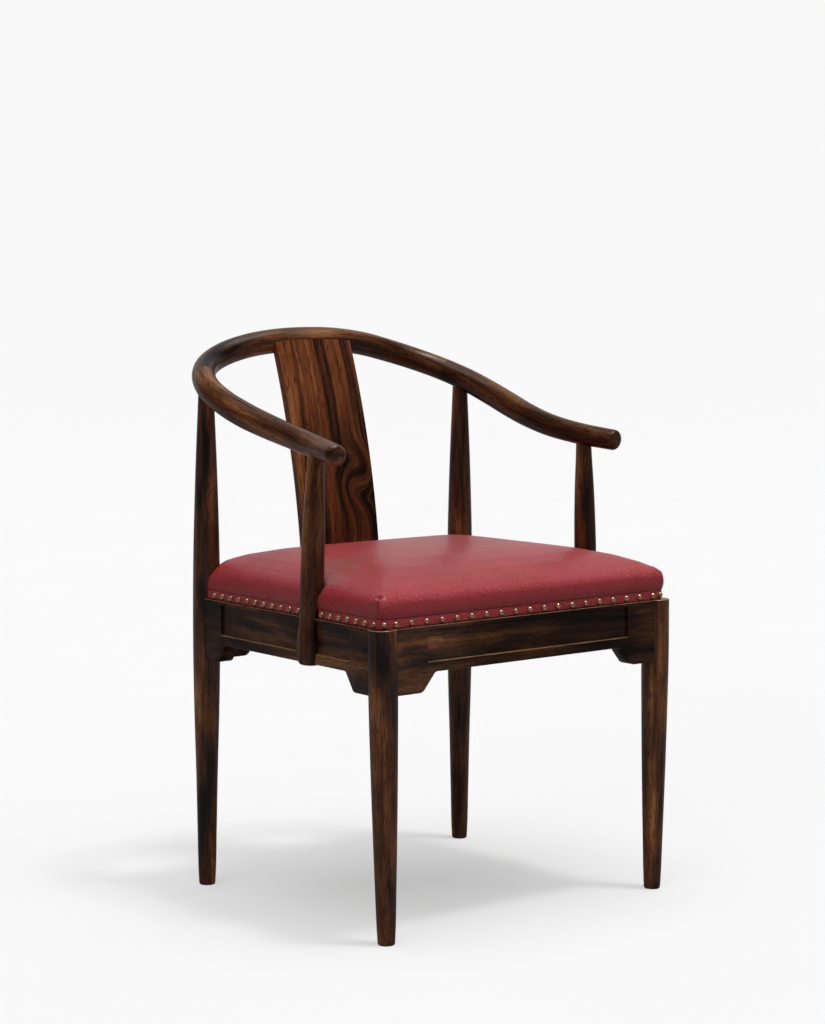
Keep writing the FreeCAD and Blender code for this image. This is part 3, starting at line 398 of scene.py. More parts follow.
def extruded(bm, edges):
    """Extrudes a ring of edges in place: its new points and its new edges."""
    made = bmesh.ops.extrude_edge_only(bm, edges=edges)["geom"]
    ring = [item for item in made if isinstance(item, bmesh.types.BMVert)]
    new = set(ring)
    return ring, [e for e in made if isinstance(e, bmesh.types.BMEdge) and all(v in new for v in e.verts)]


def loft(bm, section, stations, offset=(0.0, 0.0, 0.0), tone=1.0):
    """Runs a closed section through matrices and caps both ends.

    The grain attribute holds each point's place in the straight piece of wood: length along it,
    then its place in the section. The tone attribute lightens or darkens a whole piece."""
    grain, shade = grain_layers(bm)
    ring = [bm.verts.new((x, y, 0)) for x, y in section]
    edges = first = [bm.edges.new((a, b)) for a, b in zip(ring, ring[1:] + ring[:1])]
    previous, along, last = Matrix.Identity(4), 0.0, None
    for number, matrix in enumerate(stations):
        if number > 0:
            ring, edges = extruded(bm, edges)
            along += (matrix.translation - last).length
        bmesh.ops.transform(bm, matrix=matrix @ previous.inverted(), verts=ring)
        previous, last = matrix, matrix.translation.copy()
        width, depth = matrix.col[0].to_3d(), matrix.col[1].to_3d()
        for vert in ring:
            out = vert.co - last
            x, y = out.dot(width) / width.length, out.dot(depth) / depth.length
            vert[grain] = Vector((along, x, y)) + Vector(offset)
            vert[shade] = tone
    for rim in (first, edges):
        bmesh.ops.contextual_create(bm, geom=rim)
    return bm


def block(bm, size, centre):
    """A box of a size round a centre."""
    corners = bmesh.ops.create_cube(bm, size=1.0)["verts"]
    bmesh.ops.scale(bm, vec=size, verts=corners)
    bmesh.ops.translate(bm, vec=centre, verts=corners)


def stood(name, bm):
    """Turns a bmesh into an object of the scene."""
    mesh = bpy.data.meshes.new(name)
    bm.to_mesh(mesh)
    bm.free()
    thing = bpy.data.objects.new(name, mesh)
    bpy.context.scene.collection.objects.link(thing)
    return thing


def smoothed(mesh, sharp):
    """Smooth shading with sharp edges above an angle in degrees."""
    mesh.shade_smooth()
    mesh.set_sharp_from_angle(angle=math.radians(sharp))


def finished(name, bm, materials, nodes, sharp=38.0):
    """Makes a piece from a bmesh: it rides on the chair and stands for its nodes of the frame."""
    bmesh.ops.recalc_face_normals(bm, faces=bm.faces[:])
    piece = stood(name, bm)
    for material in materials:
        piece.data.materials.append(finish(material))
    smoothed(piece.data, sharp)
    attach(piece, "root")
    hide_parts(*nodes)
    return piece


def mirrored_copy(bm, shift):
    """The mesh on the other side of the chair, cut from another place in the log."""
    other = bm.copy()
    bmesh.ops.scale(other, vec=(-1, 1, 1), verts=other.verts)
    bmesh.ops.reverse_faces(other, faces=other.faces[:])
    grain = grain_layers(other)[0]
    for vert in other.verts:
        vert[grain] = vert[grain] + Vector(shift)
    return other


def side_face_x(y):
    """The outer face of the right side apron at a depth of the chair."""
    share = (y - FRONT_LEG.y) / (REAR_LEG.y - FRONT_LEG.y)
    return SIDE_FACE_X[0] + (SIDE_FACE_X[1] - SIDE_FACE_X[0]) * share


def bevelled(bm, edges, width, segments, clamp=False):
    """Rounds edges and gives the new faces."""
    return bmesh.ops.bevel(
        bm, geom=edges, offset=width, offset_type="OFFSET", affect="EDGES", segments=segments,
        profile=0.5, material=-1, clamp_overlap=clamp,
    )["faces"]


def soften(bm, width, angle=0.6):
    """Rounds the convex arrises; those that face up get the pale edge: wear and a painted highlight."""
    edges = [e for e in bm.edges if e.is_manifold and e.is_convex and e.calc_face_angle(0) > angle]
    for face in bevelled(bm, edges, width, 2, True):
        if face.normal.z > 0.2:
            face.material_index = RUBBED_AND_LIT.index("rosewood_rubbed_edge")


def sliced(bm, place, direction):
    """Cuts every face along a plane and keeps both sides."""
    everything = bm.verts[:] + bm.edges[:] + bm.faces[:]
    bmesh.ops.bisect_plane(bm, geom=everything, plane_co=place, plane_no=direction)


# Finishes

def finish(name):
    """The named material, made when it is first asked for."""
    if name not in bpy.data.materials:
        material = bpy.data.materials.new(name)
        material.use_nodes = True
        material.node_tree.nodes.clear()
        node = functools.partial(add_node, material.node_tree)
        node("OutputMaterial", {"Surface": FINISHES[name](node, name)})
    return bpy.data.materials[name]


def rosewood(node, name):
    """Rosewood, planed, oiled and rubbed by hands: dark streaks run along it, with a satin sheen."""
    look = bpy.context.scene.armchair_wood
    palette, figure, reach = (look.dark, look.body, look.red, look.light), PLAIN_FIGURE, 0.026
    if name == "rosewood_figured_oiled":
        palette = (look.dark, look.figured_body, look.figured_red, look.figured_light)
        figure, reach = SPLAT_FIGURE, 0.02
    place = node("Attribute", out="Vector", attribute_name="grain")
    tone = node("Attribute", out="Fac", attribute_name="tone")
    # The growth rings wander sideways by a few millimetres along the piece
    low = node("Mapping", {"Vector": place, "Scale": (4.0, 12.0, 12.0)})
    wander = node("TexNoise", {"Vector": low, "Scale": 1.0}, out="Color")
    wander = node("VectorMath", {0: wander, 1: (0.5, 0.5, 0.5)}, operation="SUBTRACT")
    wander = node("VectorMath", {0: wander, 1: (0.0, reach, reach)}, operation="MULTIPLY")
    bent = node("VectorMath", {0: place, 1: wander}, operation="ADD")
    mixed = 0.5
    for along, across, detail, roughness, share in figure:
        run = node("Mapping", {"Vector": bent, "Scale": (along, across, across)})
        fibre = node("TexNoise", {"Vector": run, "Scale": 1.0, "Detail": detail, "Roughness": roughness})
        apart = node("Math", {0: fibre, 1: 0.5}, operation="SUBTRACT")
        mixed = node("Math", {0: apart, 1: share, 2: mixed}, operation="MULTIPLY_ADD")
    colours = node("ValToRGB", {"Fac": mixed}, stops=zip((0.26, 0.45, 0.58, 0.78), palette))
    # Open pores show as dark dashes along the grain, 17 mm long and 1 mm wide at most
    dash = node("Mapping", {"Vector": bent, "Scale": (60.0, 900.0, 900.0)})
    dash = node("TexNoise", {"Vector": dash, "Scale": 1.0, "Detail": 1.0})
    limits = {"Value": dash, "From Min": 0.36, "From Max": 0.44, "To Min": 0.75, "To Max": 0.0}
    pore = node("MapRange", limits)
    colours = node("Mix", {0: pore, 6: colours, 7: look.dark}, 2, data_type="RGBA")
    colours = node("VectorMath", {0: colours, 3: tone}, operation="SCALE")
    patch = node("TexNoise", {"Vector": place, "Scale": 30.0, "Detail": 3.0})
    patch = node("MapRange", {"Value": patch, "From Min": 0.3, "From Max": 0.6, "To Min": 0.3})
    # On the edge finish this pale colour covers up-facing arrises as wear and painted highlight
    if name != "rosewood_rubbed_edge":
        wear = node("Attribute", out="Fac", attribute_name="wear")
        patch = node("Math", {0: patch, 1: wear}, operation="MULTIPLY")
    colours = node("Mix", {0: patch, 6: colours, 7: look.worn}, 2, data_type="RGBA")
    shine = node("MapRange", {"Value": mixed, "To Min": 0.34, "To Max": 0.23})
    bump = node("Bump", {"Height": fibre, "Strength": 0.2, "Distance": 0.0003})
    # The darker boards are less handled and keep a duller face
    gloss = node("MapRange", {"Value": tone, "From Min": 0.3, "To Min": 0.14, "To Max": 0.32})
    surface = {"Base Color": colours, "Roughness": shine, "Normal": bump, "Specular IOR Level": gloss}
    return node("BsdfPrincipled", surface)


def secondary_wood(node, name):
    """Beech blocks and splices inside the frame: pale, sawn and left bare, grain about 3 mm wide."""
    place = node("TexCoord", out="Object")
    run = node("Mapping", {"Vector": place, "Scale": (30.0, 300.0, 300.0)})
    grain = node("TexNoise", {"Vector": run, "Scale": 1.0, "Detail": 4.0})
    colours = node("ValToRGB", {"Fac": grain}, stops=((0.3, "#8d6a48"), (0.7, "#b8946b")))
    bump = node("Bump", {"Height": grain, "Strength": 0.3, "Distance": 0.0003})
    return node("BsdfPrincipled", {"Base Color": colours, "Roughness": 0.7, "Normal": bump})


def leather(node, name):
    """Pigmented cowhide, drawn tight and rubbed: pebbled grain with a soft sheen."""
    look = bpy.context.scene.armchair_leather
    place = node("TexCoord", out="Object")
    # Clouds of tone 110 mm across, pebbles of the set size and pores of 1 mm between them
    cloud = node("TexNoise", {"Vector": place, "Scale": 9.0, "Detail": 5.0, "Roughness": 0.6})
    cells = {"Vector": place, "Scale": 1.0 / look.pebble}
    pebble = node("TexVoronoi", cells, "Distance", feature="DISTANCE_TO_EDGE")
    pebble = node("MapRange", {"Value": pebble, "From Max": 0.3})
    fine = node("TexNoise", {"Vector": place, "Scale": 900.0})
    tint = node("MapRange", {"Value": cloud, "From Min": 0.3, "From Max": 0.7})
    colours = node("Mix", {0: tint, 6: look.deep, 7: look.face}, 2, data_type="RGBA")
    colours = node("Mix", {0: 0.55, 6: look.face, 7: colours}, 2, data_type="RGBA")
    # The rubbed layer is wear; the crease layer is painted shade in the pits, folds, tucks and along the base
    for layer, tone in (("rubbed", look.rubbed), ("crease", look.shadow)):
        share = node("Attribute", out="Fac", attribute_name=layer)
        colours = node("Mix", {0: share, 6: colours, 7: tone}, 2, data_type="RGBA")
    height = node("Math", {0: fine, 1: 0.35, 2: pebble}, operation="MULTIPLY_ADD")
    bump = node("Bump", {"Height": height, "Strength": 0.75, "Distance": 0.0008})
    shine = node("MapRange", {"Value": cloud, "To Min": 0.4, "To Max": 0.3})
    # The clear top coat shows as a pale sheen where the leather is seen along its face
    surface = {"Base Color": colours, "Roughness": shine, "Normal": bump, "Specular IOR Level": 0.25}
    return node("BsdfPrincipled", surface | {"Coat Weight": 0.42, "Coat Roughness": 0.3})


def brass(node, name):
    """Antiqued brass domes, lacquered dark and mottled with paler brass every 2 to 3 mm."""
    place = node("TexCoord", out="Object")
    spots = node("TexNoise", {"Vector": place, "Scale": 420.0, "Detail": 3.0})
    colours = node("ValToRGB", {"Fac": spots}, stops=((0.35, "#9a7458"), (0.65, "#dfbd95")))
    shine = node("MapRange", {"Value": spots, "To Min": 0.34, "To Max": 0.22})
    return node("BsdfPrincipled", {"Base Color": colours, "Roughness": shine, "Metallic": 0.75})


def steel(node, name):
    """Bright drawn steel of screws and tacks, dulled by age in spots of 3 mm."""
    place = node("TexCoord", out="Object")
    spots = node("TexNoise", {"Vector": place, "Scale": 300.0})
    colours = node("ValToRGB", {"Fac": spots}, stops=((0.3, "#6f6a64"), (0.7, "#a39e97")))
    return node("BsdfPrincipled", {"Base Color": colours, "Roughness": 0.45, "Metallic": 1.0})


def woven(node, name):
    """Jute webbing and hessian: coarse plain weave, dull and hairy."""
    pitch, pale, deep = {
        "jute_webbing": (0.0021, "#b49b72", "#7d6644"), "jute_hessian": (0.0016, "#a08259", "#6c5434"),
    }[name]
    place = node("TexCoord", out="Object")
    waves = []
    for axis in ("X", "Y"):
        way = node("SeparateXYZ", {0: place}, out=axis)
        angle = node("Math", {0: way, 1: 2 * math.pi / pitch}, operation="MULTIPLY")
        waves.append(node("Math", {0: angle}, operation="SINE"))
    cross = node("Math", {0: waves[0], 1: waves[1]}, operation="MULTIPLY")
    hairs = node("TexNoise", {"Vector": place, "Scale": 500.0, "Detail": 3.0})
    height = node("Math", {0: cross, 1: 0.3, 2: hairs}, operation="MULTIPLY_ADD")
    # Darker in the weave's hollows as painted shade, varied at random by the hairs
    colours = node("ValToRGB", {"Fac": height}, stops=((0.25, deep), (0.75, pale)))
    bump = node("Bump", {"Height": height, "Strength": 0.6, "Distance": 0.0006})
    return node("BsdfPrincipled", {"Base Color": colours, "Roughness": 0.9, "Normal": bump})


def studio_paper(node, name):
    """Seamless white paper: it stays nearly white in the picture and keeps the chair's shadow."""
    place = node("TexCoord", out="Object")
    tooth = node("TexNoise", {"Vector": place, "Scale": 2.0})
    colours = node("ValToRGB", {"Fac": tooth}, stops=((0.0, "#f1f1f1"), (1.0, "#f4f4f4")))
    seen = node("LightPath", out="Is Camera Ray")
    colours = node("Mix", {0: seen, 6: "#8c8c8c", 7: colours}, 2, data_type="RGBA")
    lit = node("BsdfDiffuse", {"Color": colours})
    glow = node("Emission", {"Color": "#f4f4f4", "Strength": 1.0})
    share = node("Math", {0: seen, 1: 0.5}, operation="MULTIPLY")
    mixed = node("MixShader", {0: share, 1: lit, 2: glow})
    # The paper is only there from above, so that the chair can be looked at from below
    under = node("NewGeometry", out="Backfacing")
    return node("MixShader", {0: under, 1: mixed, 2: node("BsdfTransparent")})


def backdrop(node, name):
    """White backdrop behind the chair: bright in the picture and in the polish, dim as a lamp."""
    place = node("TexCoord", out="Object")
    height = node("SeparateXYZ", {0: place}, out="Z")
    rise = node("MapRange", {"Value": height, "From Max": 1.2})
    colours = node("ValToRGB", {"Fac": rise}, stops=((0.0, "#fafafa"), (1.0, "#f8f8f8")))
    glossy, camera = (node("LightPath", out=ray) for ray in ("Is Glossy Ray", "Is Camera Ray"))
    polish = node("Math", {0: glossy, 1: 0.4, 2: 0.15}, operation="MULTIPLY_ADD")
    level = node("Math", {0: camera, 1: polish}, operation="MAXIMUM")
    return node("Emission", {"Color": colours, "Strength": level})


FINISHES = {
    "rosewood_oiled": rosewood, "rosewood_figured_oiled": rosewood, "rosewood_rubbed_edge": rosewood,
    "beech_sawn": secondary_wood, "cowhide_pigmented": leather, "brass_antiqued": brass, "steel_drawn": steel,
    "jute_webbing": woven, "jute_hessian": woven, "paper_seamless": studio_paper, "cloth_backdrop": backdrop,
}


# Shapes shared by several pieces

def upright_stations(foot, top, rows, step=0.008):
    """Matrices up a leaning turned upright whose radius follows (length, radius) rows."""
    along = top - foot
    line = smooth_line([Vector((s, r, 0.0)) for s, r in rows], step)
    return [placed(foot + along.normalized() * p.x, along, width=p.y, depth=p.y) for p in line]


def half_path(side):
    """The right (1) or left (-1) half of the rail's middle line, with the radius as a fourth number."""
    points = []
    halves = ((RAIL_BACK_Y, RAIL_BEHIND_LEG, BACK_PATH), (REAR_LEG.y, ARM_REACH, ARM_PATH))
    for start_y, reach, rows in halves:
        for across, forward, down, thickness in rows:
            points.append(Vector((
                side * RAIL_HALF_SPAN * across, start_y - reach * forward,
                RAIL_HEIGHT - RAIL_DROP * down, RAIL_RADIUS * thickness,
            )))
    return points


def whole_rail():
    """Dense points along the whole rail from the left tip to the right tip."""
    return smooth_line(half_path(-1)[:0:-1] + half_path(1), 0.006)


def rail_over(x, y):
    """The rail's middle line beside an upright."""
    return min(whole_rail(), key=lambda p: math.hypot(p.x - x, p.y - y)).to_3d()


def rail_stations(points, start_cut, end_cut):
    """Matrices along a run of the rail; a cut of 'tip' is a blunt rounded end, 'joint' a tight splice."""
    stations = []
    for i, point in enumerate(points):
        ahead, behind = points[min(i + 1, len(points) - 1)].to_3d(), points[max(i - 1, 0)].to_3d()
        side = (ahead - behind).cross(UP)
        stations.append(placed(point.to_3d(), ahead - behind, side, point.w, point.w))
    for cut, way in ((start_cut, -1), (end_cut, 1)):
        # Each pass turns the run round, so that the end to cut is the last
        stations.reverse()
        end = stations[-1]
        outward = end.col[2].to_3d() * way
        radius = end.col[0].to_3d().length
        steps = [(-SPLICE_STEP, SPLICE_CHAMFER)]
        if cut == "tip":
            stations = [s for s in stations if (s.translation - end.translation).length > TIP_ROUND]
            angles = [step * math.pi / 12 for step in range(7)]
            steps = [(TIP_ROUND * (1 - math.sin(a)), TIP_ROUND * (1 - math.cos(a))) for a in angles]
        for inward, less in steps:
            shrink = (radius - less) / radius
            centre = Matrix.Translation(end.translation - outward * inward)
            stations.append(centre @ end.to_3x3().to_4x4() @ Matrix.Diagonal((shrink, shrink, 1, 1)))
    return stations


def post_ends():
    """Foot and top of the right arm post's middle line."""
    foot = Vector((side_face_x(POST_Y) - POST_SET_IN, POST_Y, POST_FOOT_Z))
    return foot, rail_over(RAIL_HALF_SPAN, POST_Y - POST_TOP_AHEAD) + Vector((POST_TOP_OUT, 0, 0))


# Operators

class PieceOperator:
    """What every operator of the chair shares."""

    bl_options = {"REGISTER", "UNDO"}


class ARMCHAIR_OT_legs(PieceOperator, bpy.types.Operator):
    """Turned front legs, and rear legs that run on up to the rail"""

    bl_idname = "armchair.legs"
    bl_label = "Legs"

    def execute(self, context):
        front, rear = bmesh.new(), bmesh.new()
        stations = upright_stations(FRONT_FOOT, FRONT_LEG, FRONT_TURNING)
        rim = Matrix.Diagonal((LEG_RIM_SHARE, LEG_RIM_SHARE, 1, 1))
        stations.append(Matrix.Translation((0, 0, LEG_RIM_HEIGHT)) @ stations[-1] @ rim)
        loft(front, circle(48), stations, *CUTS["front_leg"])
        # The rim round each front leg's top takes the pale edge: wear, and a painted highlight where it faces
        # up
        for face in front.faces:
            if face.calc_center_median().z > FRAME_TOP - LEG_RIM_HEIGHT and len(face.verts) == 4:
                face.material_index = RUBBED_AND_LIT.index("rosewood_rubbed_edge")
        reach = (rail_over(REAR_LEG.x, REAR_LEG.y) - REAR_FOOT).length - UPRIGHT_TOP_GAP
        rows = REAR_TURNING + ((reach, 0.0103),)
        loft(rear, circle(48), upright_stations(REAR_FOOT, REAR_LEG, rows), *CUTS["rear_leg"])
        for name, right, right_tone in (("front", front, 1.2), ("rear", rear, 0.88)):
            left = mirrored_copy(right, (0.41, 0.17, 0.05))
            shade = grain_layers(right)[1]
            for vert in right.verts:
                vert[shade] *= right_tone
            for side, bm in (("right", right), ("left", left)):
                finished(f"leg_{name}_{side}_turned", bm, RUBBED_AND_LIT, [f"{name}_leg_{side}"])
        return {"FINISHED"}


class ARMCHAIR_OT_posts(PieceOperator, bpy.types.Operator):
    """Arm posts housed in the side aprons and tenoned into the rail"""

    bl_idname = "armchair.posts"
    bl_label = "Arm posts"

    def execute(self, context):
        foot, top = post_ends()
        reach = (top - foot).length
        rows = POST_TURNING + ((reach - RAIL_RADIUS, 0.0108), (reach - UPRIGHT_TOP_GAP, 0.0104))
        post = bmesh.new()
        loft(post, circle(40), upright_stations(foot, top, rows, 0.006), *CUTS["arm_post"])
        shade = grain_layers(post)[1]
        for vert in post.verts:
            if vert.co.z < UPSTAND_TOP:
                vert.co.x = max(vert.co.x, side_face_x(vert.co.y) - POST_HOUSING)
                vert[shade] *= 1.05
        other = mirrored_copy(post, (0.3, 0.23, 0.11))
        for side, bm in (("right", post), ("left", other)):
            finished(f"arm_post_{side}_turned", bm, OILED, ["arm_post_" + side])
        return {"FINISHED"}


class ARMCHAIR_OT_rail(PieceOperator, bpy.types.Operator):
    """Horseshoe rail in three lengths, spliced behind the rear legs"""

    bl_idname = "armchair.rail"
    bl_label = "Horseshoe rail"

    def execute(self, context):
        line = whole_rail()
        splice = half_path(1)[len(BACK_PATH) - 1].to_3d()
        splices = [Vector((side * splice.x, splice.y, splice.z)) for side in (-1, 1)]
        left, right = (
            min(range(len(line)), key=lambda i: (line[i].to_3d() - place).length) for place in splices
        )
        arm, back = (
            sum((b - a).to_3d().length for a, b in zip(part, part[1:]))
            for part in (line[:left + 1], line[left:right + 1])
        )
        runs = (
            ("rail_back", line[left:right + 1], "joint", "joint", (2.0, 0.3, 0.1), 1.55),
            ("arm_right", line[right:], "joint", "tip", (2.0 + back, 0.306, 0.103), 1.2),
            ("arm_left", line[:left + 1], "tip", "joint", (2.0 - arm, 0.294, 0.104), 1.35),
        )
        tilt = math.radians(FACET_ANGLE)
        facet_normal = Vector((0, -math.cos(tilt), math.sin(tilt)))
        facet_place = Vector((0, RAIL_BACK_Y, RAIL_HEIGHT)) + facet_normal * (RAIL_RADIUS - FACET_DEPTH)
        for node, points, start, end, offset, tone in runs:
            bm = bmesh.new()
            loft(bm, circle(44), rail_stations(points, start, end), offset, tone)
            wear, shade = bm.verts.layers.float.new("wear"), grain_layers(bm)[1]
            for vert in bm.verts:
                # The right half is darker, and so is the left bend
                vert[shade] *= 1.0 - 0.62 * rising(vert.co.x, 0.01, 0.12)
                if vert.co.x < 0:
                    bend = rising(vert.co.y, -0.06, 0.12) * rising(-vert.co.x, 0.11, 0.07)
                    vert[shade] *= 1.0 - 0.5 * bend
                over = (vert.co - facet_place).dot(facet_normal)
                if node == "rail_back" and over > -FACET_EDGE and abs(vert.co.x) < FACET_REACH:
                    vert[wear] = min(0.55, 420 * (over + FACET_EDGE))
                    vert.co -= facet_normal * max(over, 0.0)
                near = min((vert.co - place).length for place in splices) < SPLICE_WEAR_REACH
                if near and any(len(face.verts) > 4 for face in vert.link_faces):
                    vert[wear] = 0.45
            finished(node + "_bent", bm, OILED, [node])
        return {"FINISHED"}


class ARMCHAIR_OT_splat(PieceOperator, bpy.types.Operator):
    """Raked and bowed back splat, let into the rail at the top"""

    bl_idname = "armchair.splat"
    bl_label = "Back splat"

    def execute(self, context):
        foot_y, top_y = REAR_LEG.y - SPLAT_BEFORE_LEG, RAIL_BACK_Y - RAIL_RADIUS
        low, high = SPLAT_FOOT_Z, RAIL_HEIGHT + SPLAT_INTO_RAIL
        middle_y = (foot_y + top_y) / 2 - SPLAT_BOW
        half = SPLAT_HALF
        section = [(-half + 2 * half * i / 28, 0.0) for i in range(29)]
        section += [(half - 2 * half * i / 28, SPLAT_THICKNESS) for i in range(29)]
        stations = []
        for i in range(81):
            z = low + (high - low) * i / 80
            t = (z - UPSTAND_TOP) / (RAIL_HEIGHT - UPSTAND_TOP)
            y = foot_y * (1 - t) * (1 - 2 * t) + middle_y * 4 * t * (1 - t) + top_y * t * (2 * t - 1)
            stations.append(Matrix.Translation((0, y, z)))
        bm = bmesh.new()
        loft(bm, section, stations, *CUTS["back_splat"])
        grain, shade = grain_layers(bm)
        for vert in bm.verts:
            # The top edge follows the rail down towards its ends
            if vert.co.z > high - 0.02:
                vert.co.z -= SPLAT_TOP_DROP * (vert.co.x / half) ** 2
            # A knot low on the right turns the grain round itself, and the foot is darker
            off = Vector((vert.co.x - KNOT.x, vert.co.z - KNOT.y))
            turn = KNOT_TURN * bell(off.length, KNOT_REACH)
            along, across = vert[grain].x - off.y, vert[grain].y - off.x
            turned = Matrix.Rotation(turn, 2) @ off
            vert[grain] = Vector((along + turned.y, across + turned.x, vert[grain].z))
            vert[shade] *= 1.0 - 0.36 * rising(SPLAT_DARK_BELOW - vert.co.z, 0.0, 0.08)
        bmesh.ops.recalc_face_normals(bm, faces=bm.faces[:])
        soften(bm, 1.5 * context.scene.armchair_wood.edge, 1.2)
        materials = ["rosewood_figured_oiled", "rosewood_rubbed_edge"]
        finished("splat_board", bm, materials, ["back_splat"], 30)
        return {"FINISHED"}


class ARMCHAIR_OT_aprons(PieceOperator, bpy.types.Operator):
    """Bracketed aprons with a sunk field on the front and sides"""

    bl_idname = "armchair.aprons"
    bl_label = "Aprons"

    def sink_field(self, bm, start, end):
        """Sinks the field between two places along the board, with a sloping lower edge."""
        low, high = APRON_BOTTOM + FIELD_ABOVE_BOTTOM, FRAME_TOP - FIELD_BELOW_TOP
        for x in (start, end):
            sliced(bm, (x, 0, 0), (1, 0, 0))
        for z in (low, high):
            sliced(bm, (0, 0, z), UP)
        bm.faces.ensure_lookup_table()
        middles = [(face, face.calc_center_median()) for face in bm.faces]
        field = [f for f, m in middles if abs(m.y) < 1e-6 and start < m.x < end and low < m.z < high]
        made = bmesh.ops.extrude_face_region(bm, geom=field)["geom"]
        verts = [v for v in made if isinstance(v, bmesh.types.BMVert)]
        bmesh.ops.delete(bm, geom=field, context="FACES_ONLY")
        bmesh.ops.translate(bm, vec=(0, FIELD_DEPTH, 0), verts=verts)
        for vert in verts:
            if vert.co.z < low + 1e-5:
                vert.co.z += FIELD_DEPTH / 2

    def board(self, run, thickness, bracket, stile, edge):
        """One apron in its own place: x along it, y inwards from its face, z up."""
        low, flat, inner = APRON_BOTTOM - BRACKET_DROP, bracket[0], bracket[0] + bracket[1]
        outline = (
            (0, FRAME_TOP), (0, low), (flat, low), (inner, APRON_BOTTOM), (run - inner, APRON_BOTTOM),
            (run - flat, low), (run, low), (run, FRAME_TOP),
        )
        bm = bmesh.new()
        face = bm.faces.new([bm.verts.new((x, 0, z)) for x, z in outline])
        made = bmesh.ops.extrude_face_region(bm, geom=[face])["geom"]
        back = [v for v in made if isinstance(v, bmesh.types.BMVert)]
        bmesh.ops.translate(bm, vec=(0, thickness, 0), verts=back)
        for corner, radius in zip((flat, inner), BRACKET_ROUNDS):
            cross = []
            for line in bm.edges:
                a, b = (vert.co for vert in line.verts)
                beside = min(abs(a.x - x) for x in (corner, run - corner)) < 1e-6
                if abs(a.y - b.y) > thickness / 2 and beside and a.z < FRAME_TOP - 0.01:
                    cross.append(line)
            bevelled(bm, cross, radius, 5)
        if stile:
            self.sink_field(bm, LEG_RADIUS + stile, run - (LEG_RADIUS + stile))
        bmesh.ops.recalc_face_normals(bm, faces=bm.faces[:])
        soften(bm, edge)
        # The upstand reaches a little into the board
        sunk = FRAME_TOP - UPSTAND_OVERLAP
        size = (run, thickness - UPSTAND_INSET, UPSTAND_TOP - sunk)
        block(bm, size, (run / 2, (thickness + UPSTAND_INSET) / 2, (UPSTAND_TOP + sunk) / 2))
        # Short lengths give the tones along the board places to change
        for cut in range(1, APRON_LENGTHS):
            sliced(bm, (run * cut / APRON_LENGTHS, 0, 0), (1, 0, 0))
        return bm

    def execute(self, context):
        front, rear = (SIDE_FACE_X[0], FRONT_LEG.y), (SIDE_FACE_X[1], REAR_LEG.y)
        ends = {
            "front_apron": ((-FRONT_LEG.x, FRONT_FACE_Y), (FRONT_LEG.x, FRONT_FACE_Y)),
            "rear_apron": ((REAR_LEG.x, REAR_FACE_Y), (-REAR_LEG.x, REAR_FACE_Y)),
            "side_apron_right": (front, rear),
            "side_apron_left": ((-rear[0], rear[1]), (-front[0], front[1])),
        }
        stiles = {"front_apron": FRONT_STILE, "rear_apron": None}
        for node, (start, end) in ends.items():
            start, end = Vector(start + (0,)), Vector(end + (0,))
            bracket = SIDE_BRACKET if node.startswith("side") else END_BRACKET
            stile = stiles.get(node, SIDE_STILE)
            thickness = REAR_APRON_THICKNESS if node == "rear_apron" else APRON_THICKNESS
            edge = context.scene.armchair_wood.edge
            bm = self.board((end - start).length, thickness, bracket, stile, edge)
            grain, shade = grain_layers(bm)
            for vert in bm.verts:
                along, out, height = vert.co
                vert[grain] = Vector((along, height, -out)) + Vector(CUTS[node])
                # Tones along the board, with painted shade on the rear board
                vert[shade] = between(STAINS_AND_SHADE[node], along)
            angle = math.atan2(end.y - start.y, end.x - start.x)
            place = Matrix.Translation(start) @ Matrix.Rotation(angle, 4, "Z")
            bmesh.ops.transform(bm, matrix=place, verts=bm.verts)
            finished(node + "_board", bm, RUBBED_AND_LIT, [node])
        return {"FINISHED"}


def ring_point(inset, radius, side, share):
    """A point on the seat's rounded outline: side 0 front, 1 right, 2 rear, 3 left, share along it."""
    centre_y = (FRONT_FACE_Y + REAR_FACE_Y) / 2
    half_x = side_face_x(centre_y) - inset
    half_y = (REAR_FACE_Y - FRONT_FACE_Y) / 2 - inset
    a, b = (half_x, half_y) if side % 2 == 0 else (half_y, half_x)
    radius = min(radius, a * 0.98, b * 0.98)
    quarter = math.pi / 4 * radius
    total = 2 * (a - radius) + 2 * quarter
    place = min(share, 1 - share) * total
    if place < quarter:
        angle = math.pi / 4 - place / max(radius, 1e-9)
        u, v = -(a - radius) - radius * math.sin(angle), -(b - radius) - radius * math.cos(angle)
    else:
        u, v = -(a - radius) + place - quarter, -b
    u = u if share <= 0.5 else -u
    x, y = [(u, v), (-v, u), (-u, -v), (v, -u)][side]
    y += centre_y
    return Vector((x * side_face_x(y) / side_face_x(centre_y), y, 0))


def seat_profile_rows(count):
    """Inset and height for each ring of the seat, closer together on the wall and roll."""
    line = smooth_line([Vector((inset, height, 0)) for inset, height in SEAT_PROFILE], 0.0008)
    middle = (REAR_FACE_Y - FRONT_FACE_Y) / 2
    line += smooth_line([line[-1], Vector((middle, line[-1].y, 0))], 0.001)[1:]
    lengths = [0.0]
    for a, b in zip(line, line[1:]):
        lengths.append(lengths[-1] + (b - a).length)
    rows = []
    for ring in range(count + 1):
        share = ring / count
        target = lengths[-1] * (0.62 * share + 0.38 * share ** 2)
        index = min(range(len(lengths)), key=lambda i: abs(lengths[i] - target))
        rows.append((line[index].x, line[index].y))
    return rows


def crown_height(x, y):
    """Height of the seat's crown above its base, from the distances to its four sides."""
    side = side_face_x(y)
    gaps = (side - x, side + x, y - FRONT_FACE_Y, REAR_FACE_Y - y)
    near = sum(max(gap, 0.001) ** -5.0 for gap in gaps) ** (-1 / 5.0)
    return between(SEAT_PROFILE[3:], near)


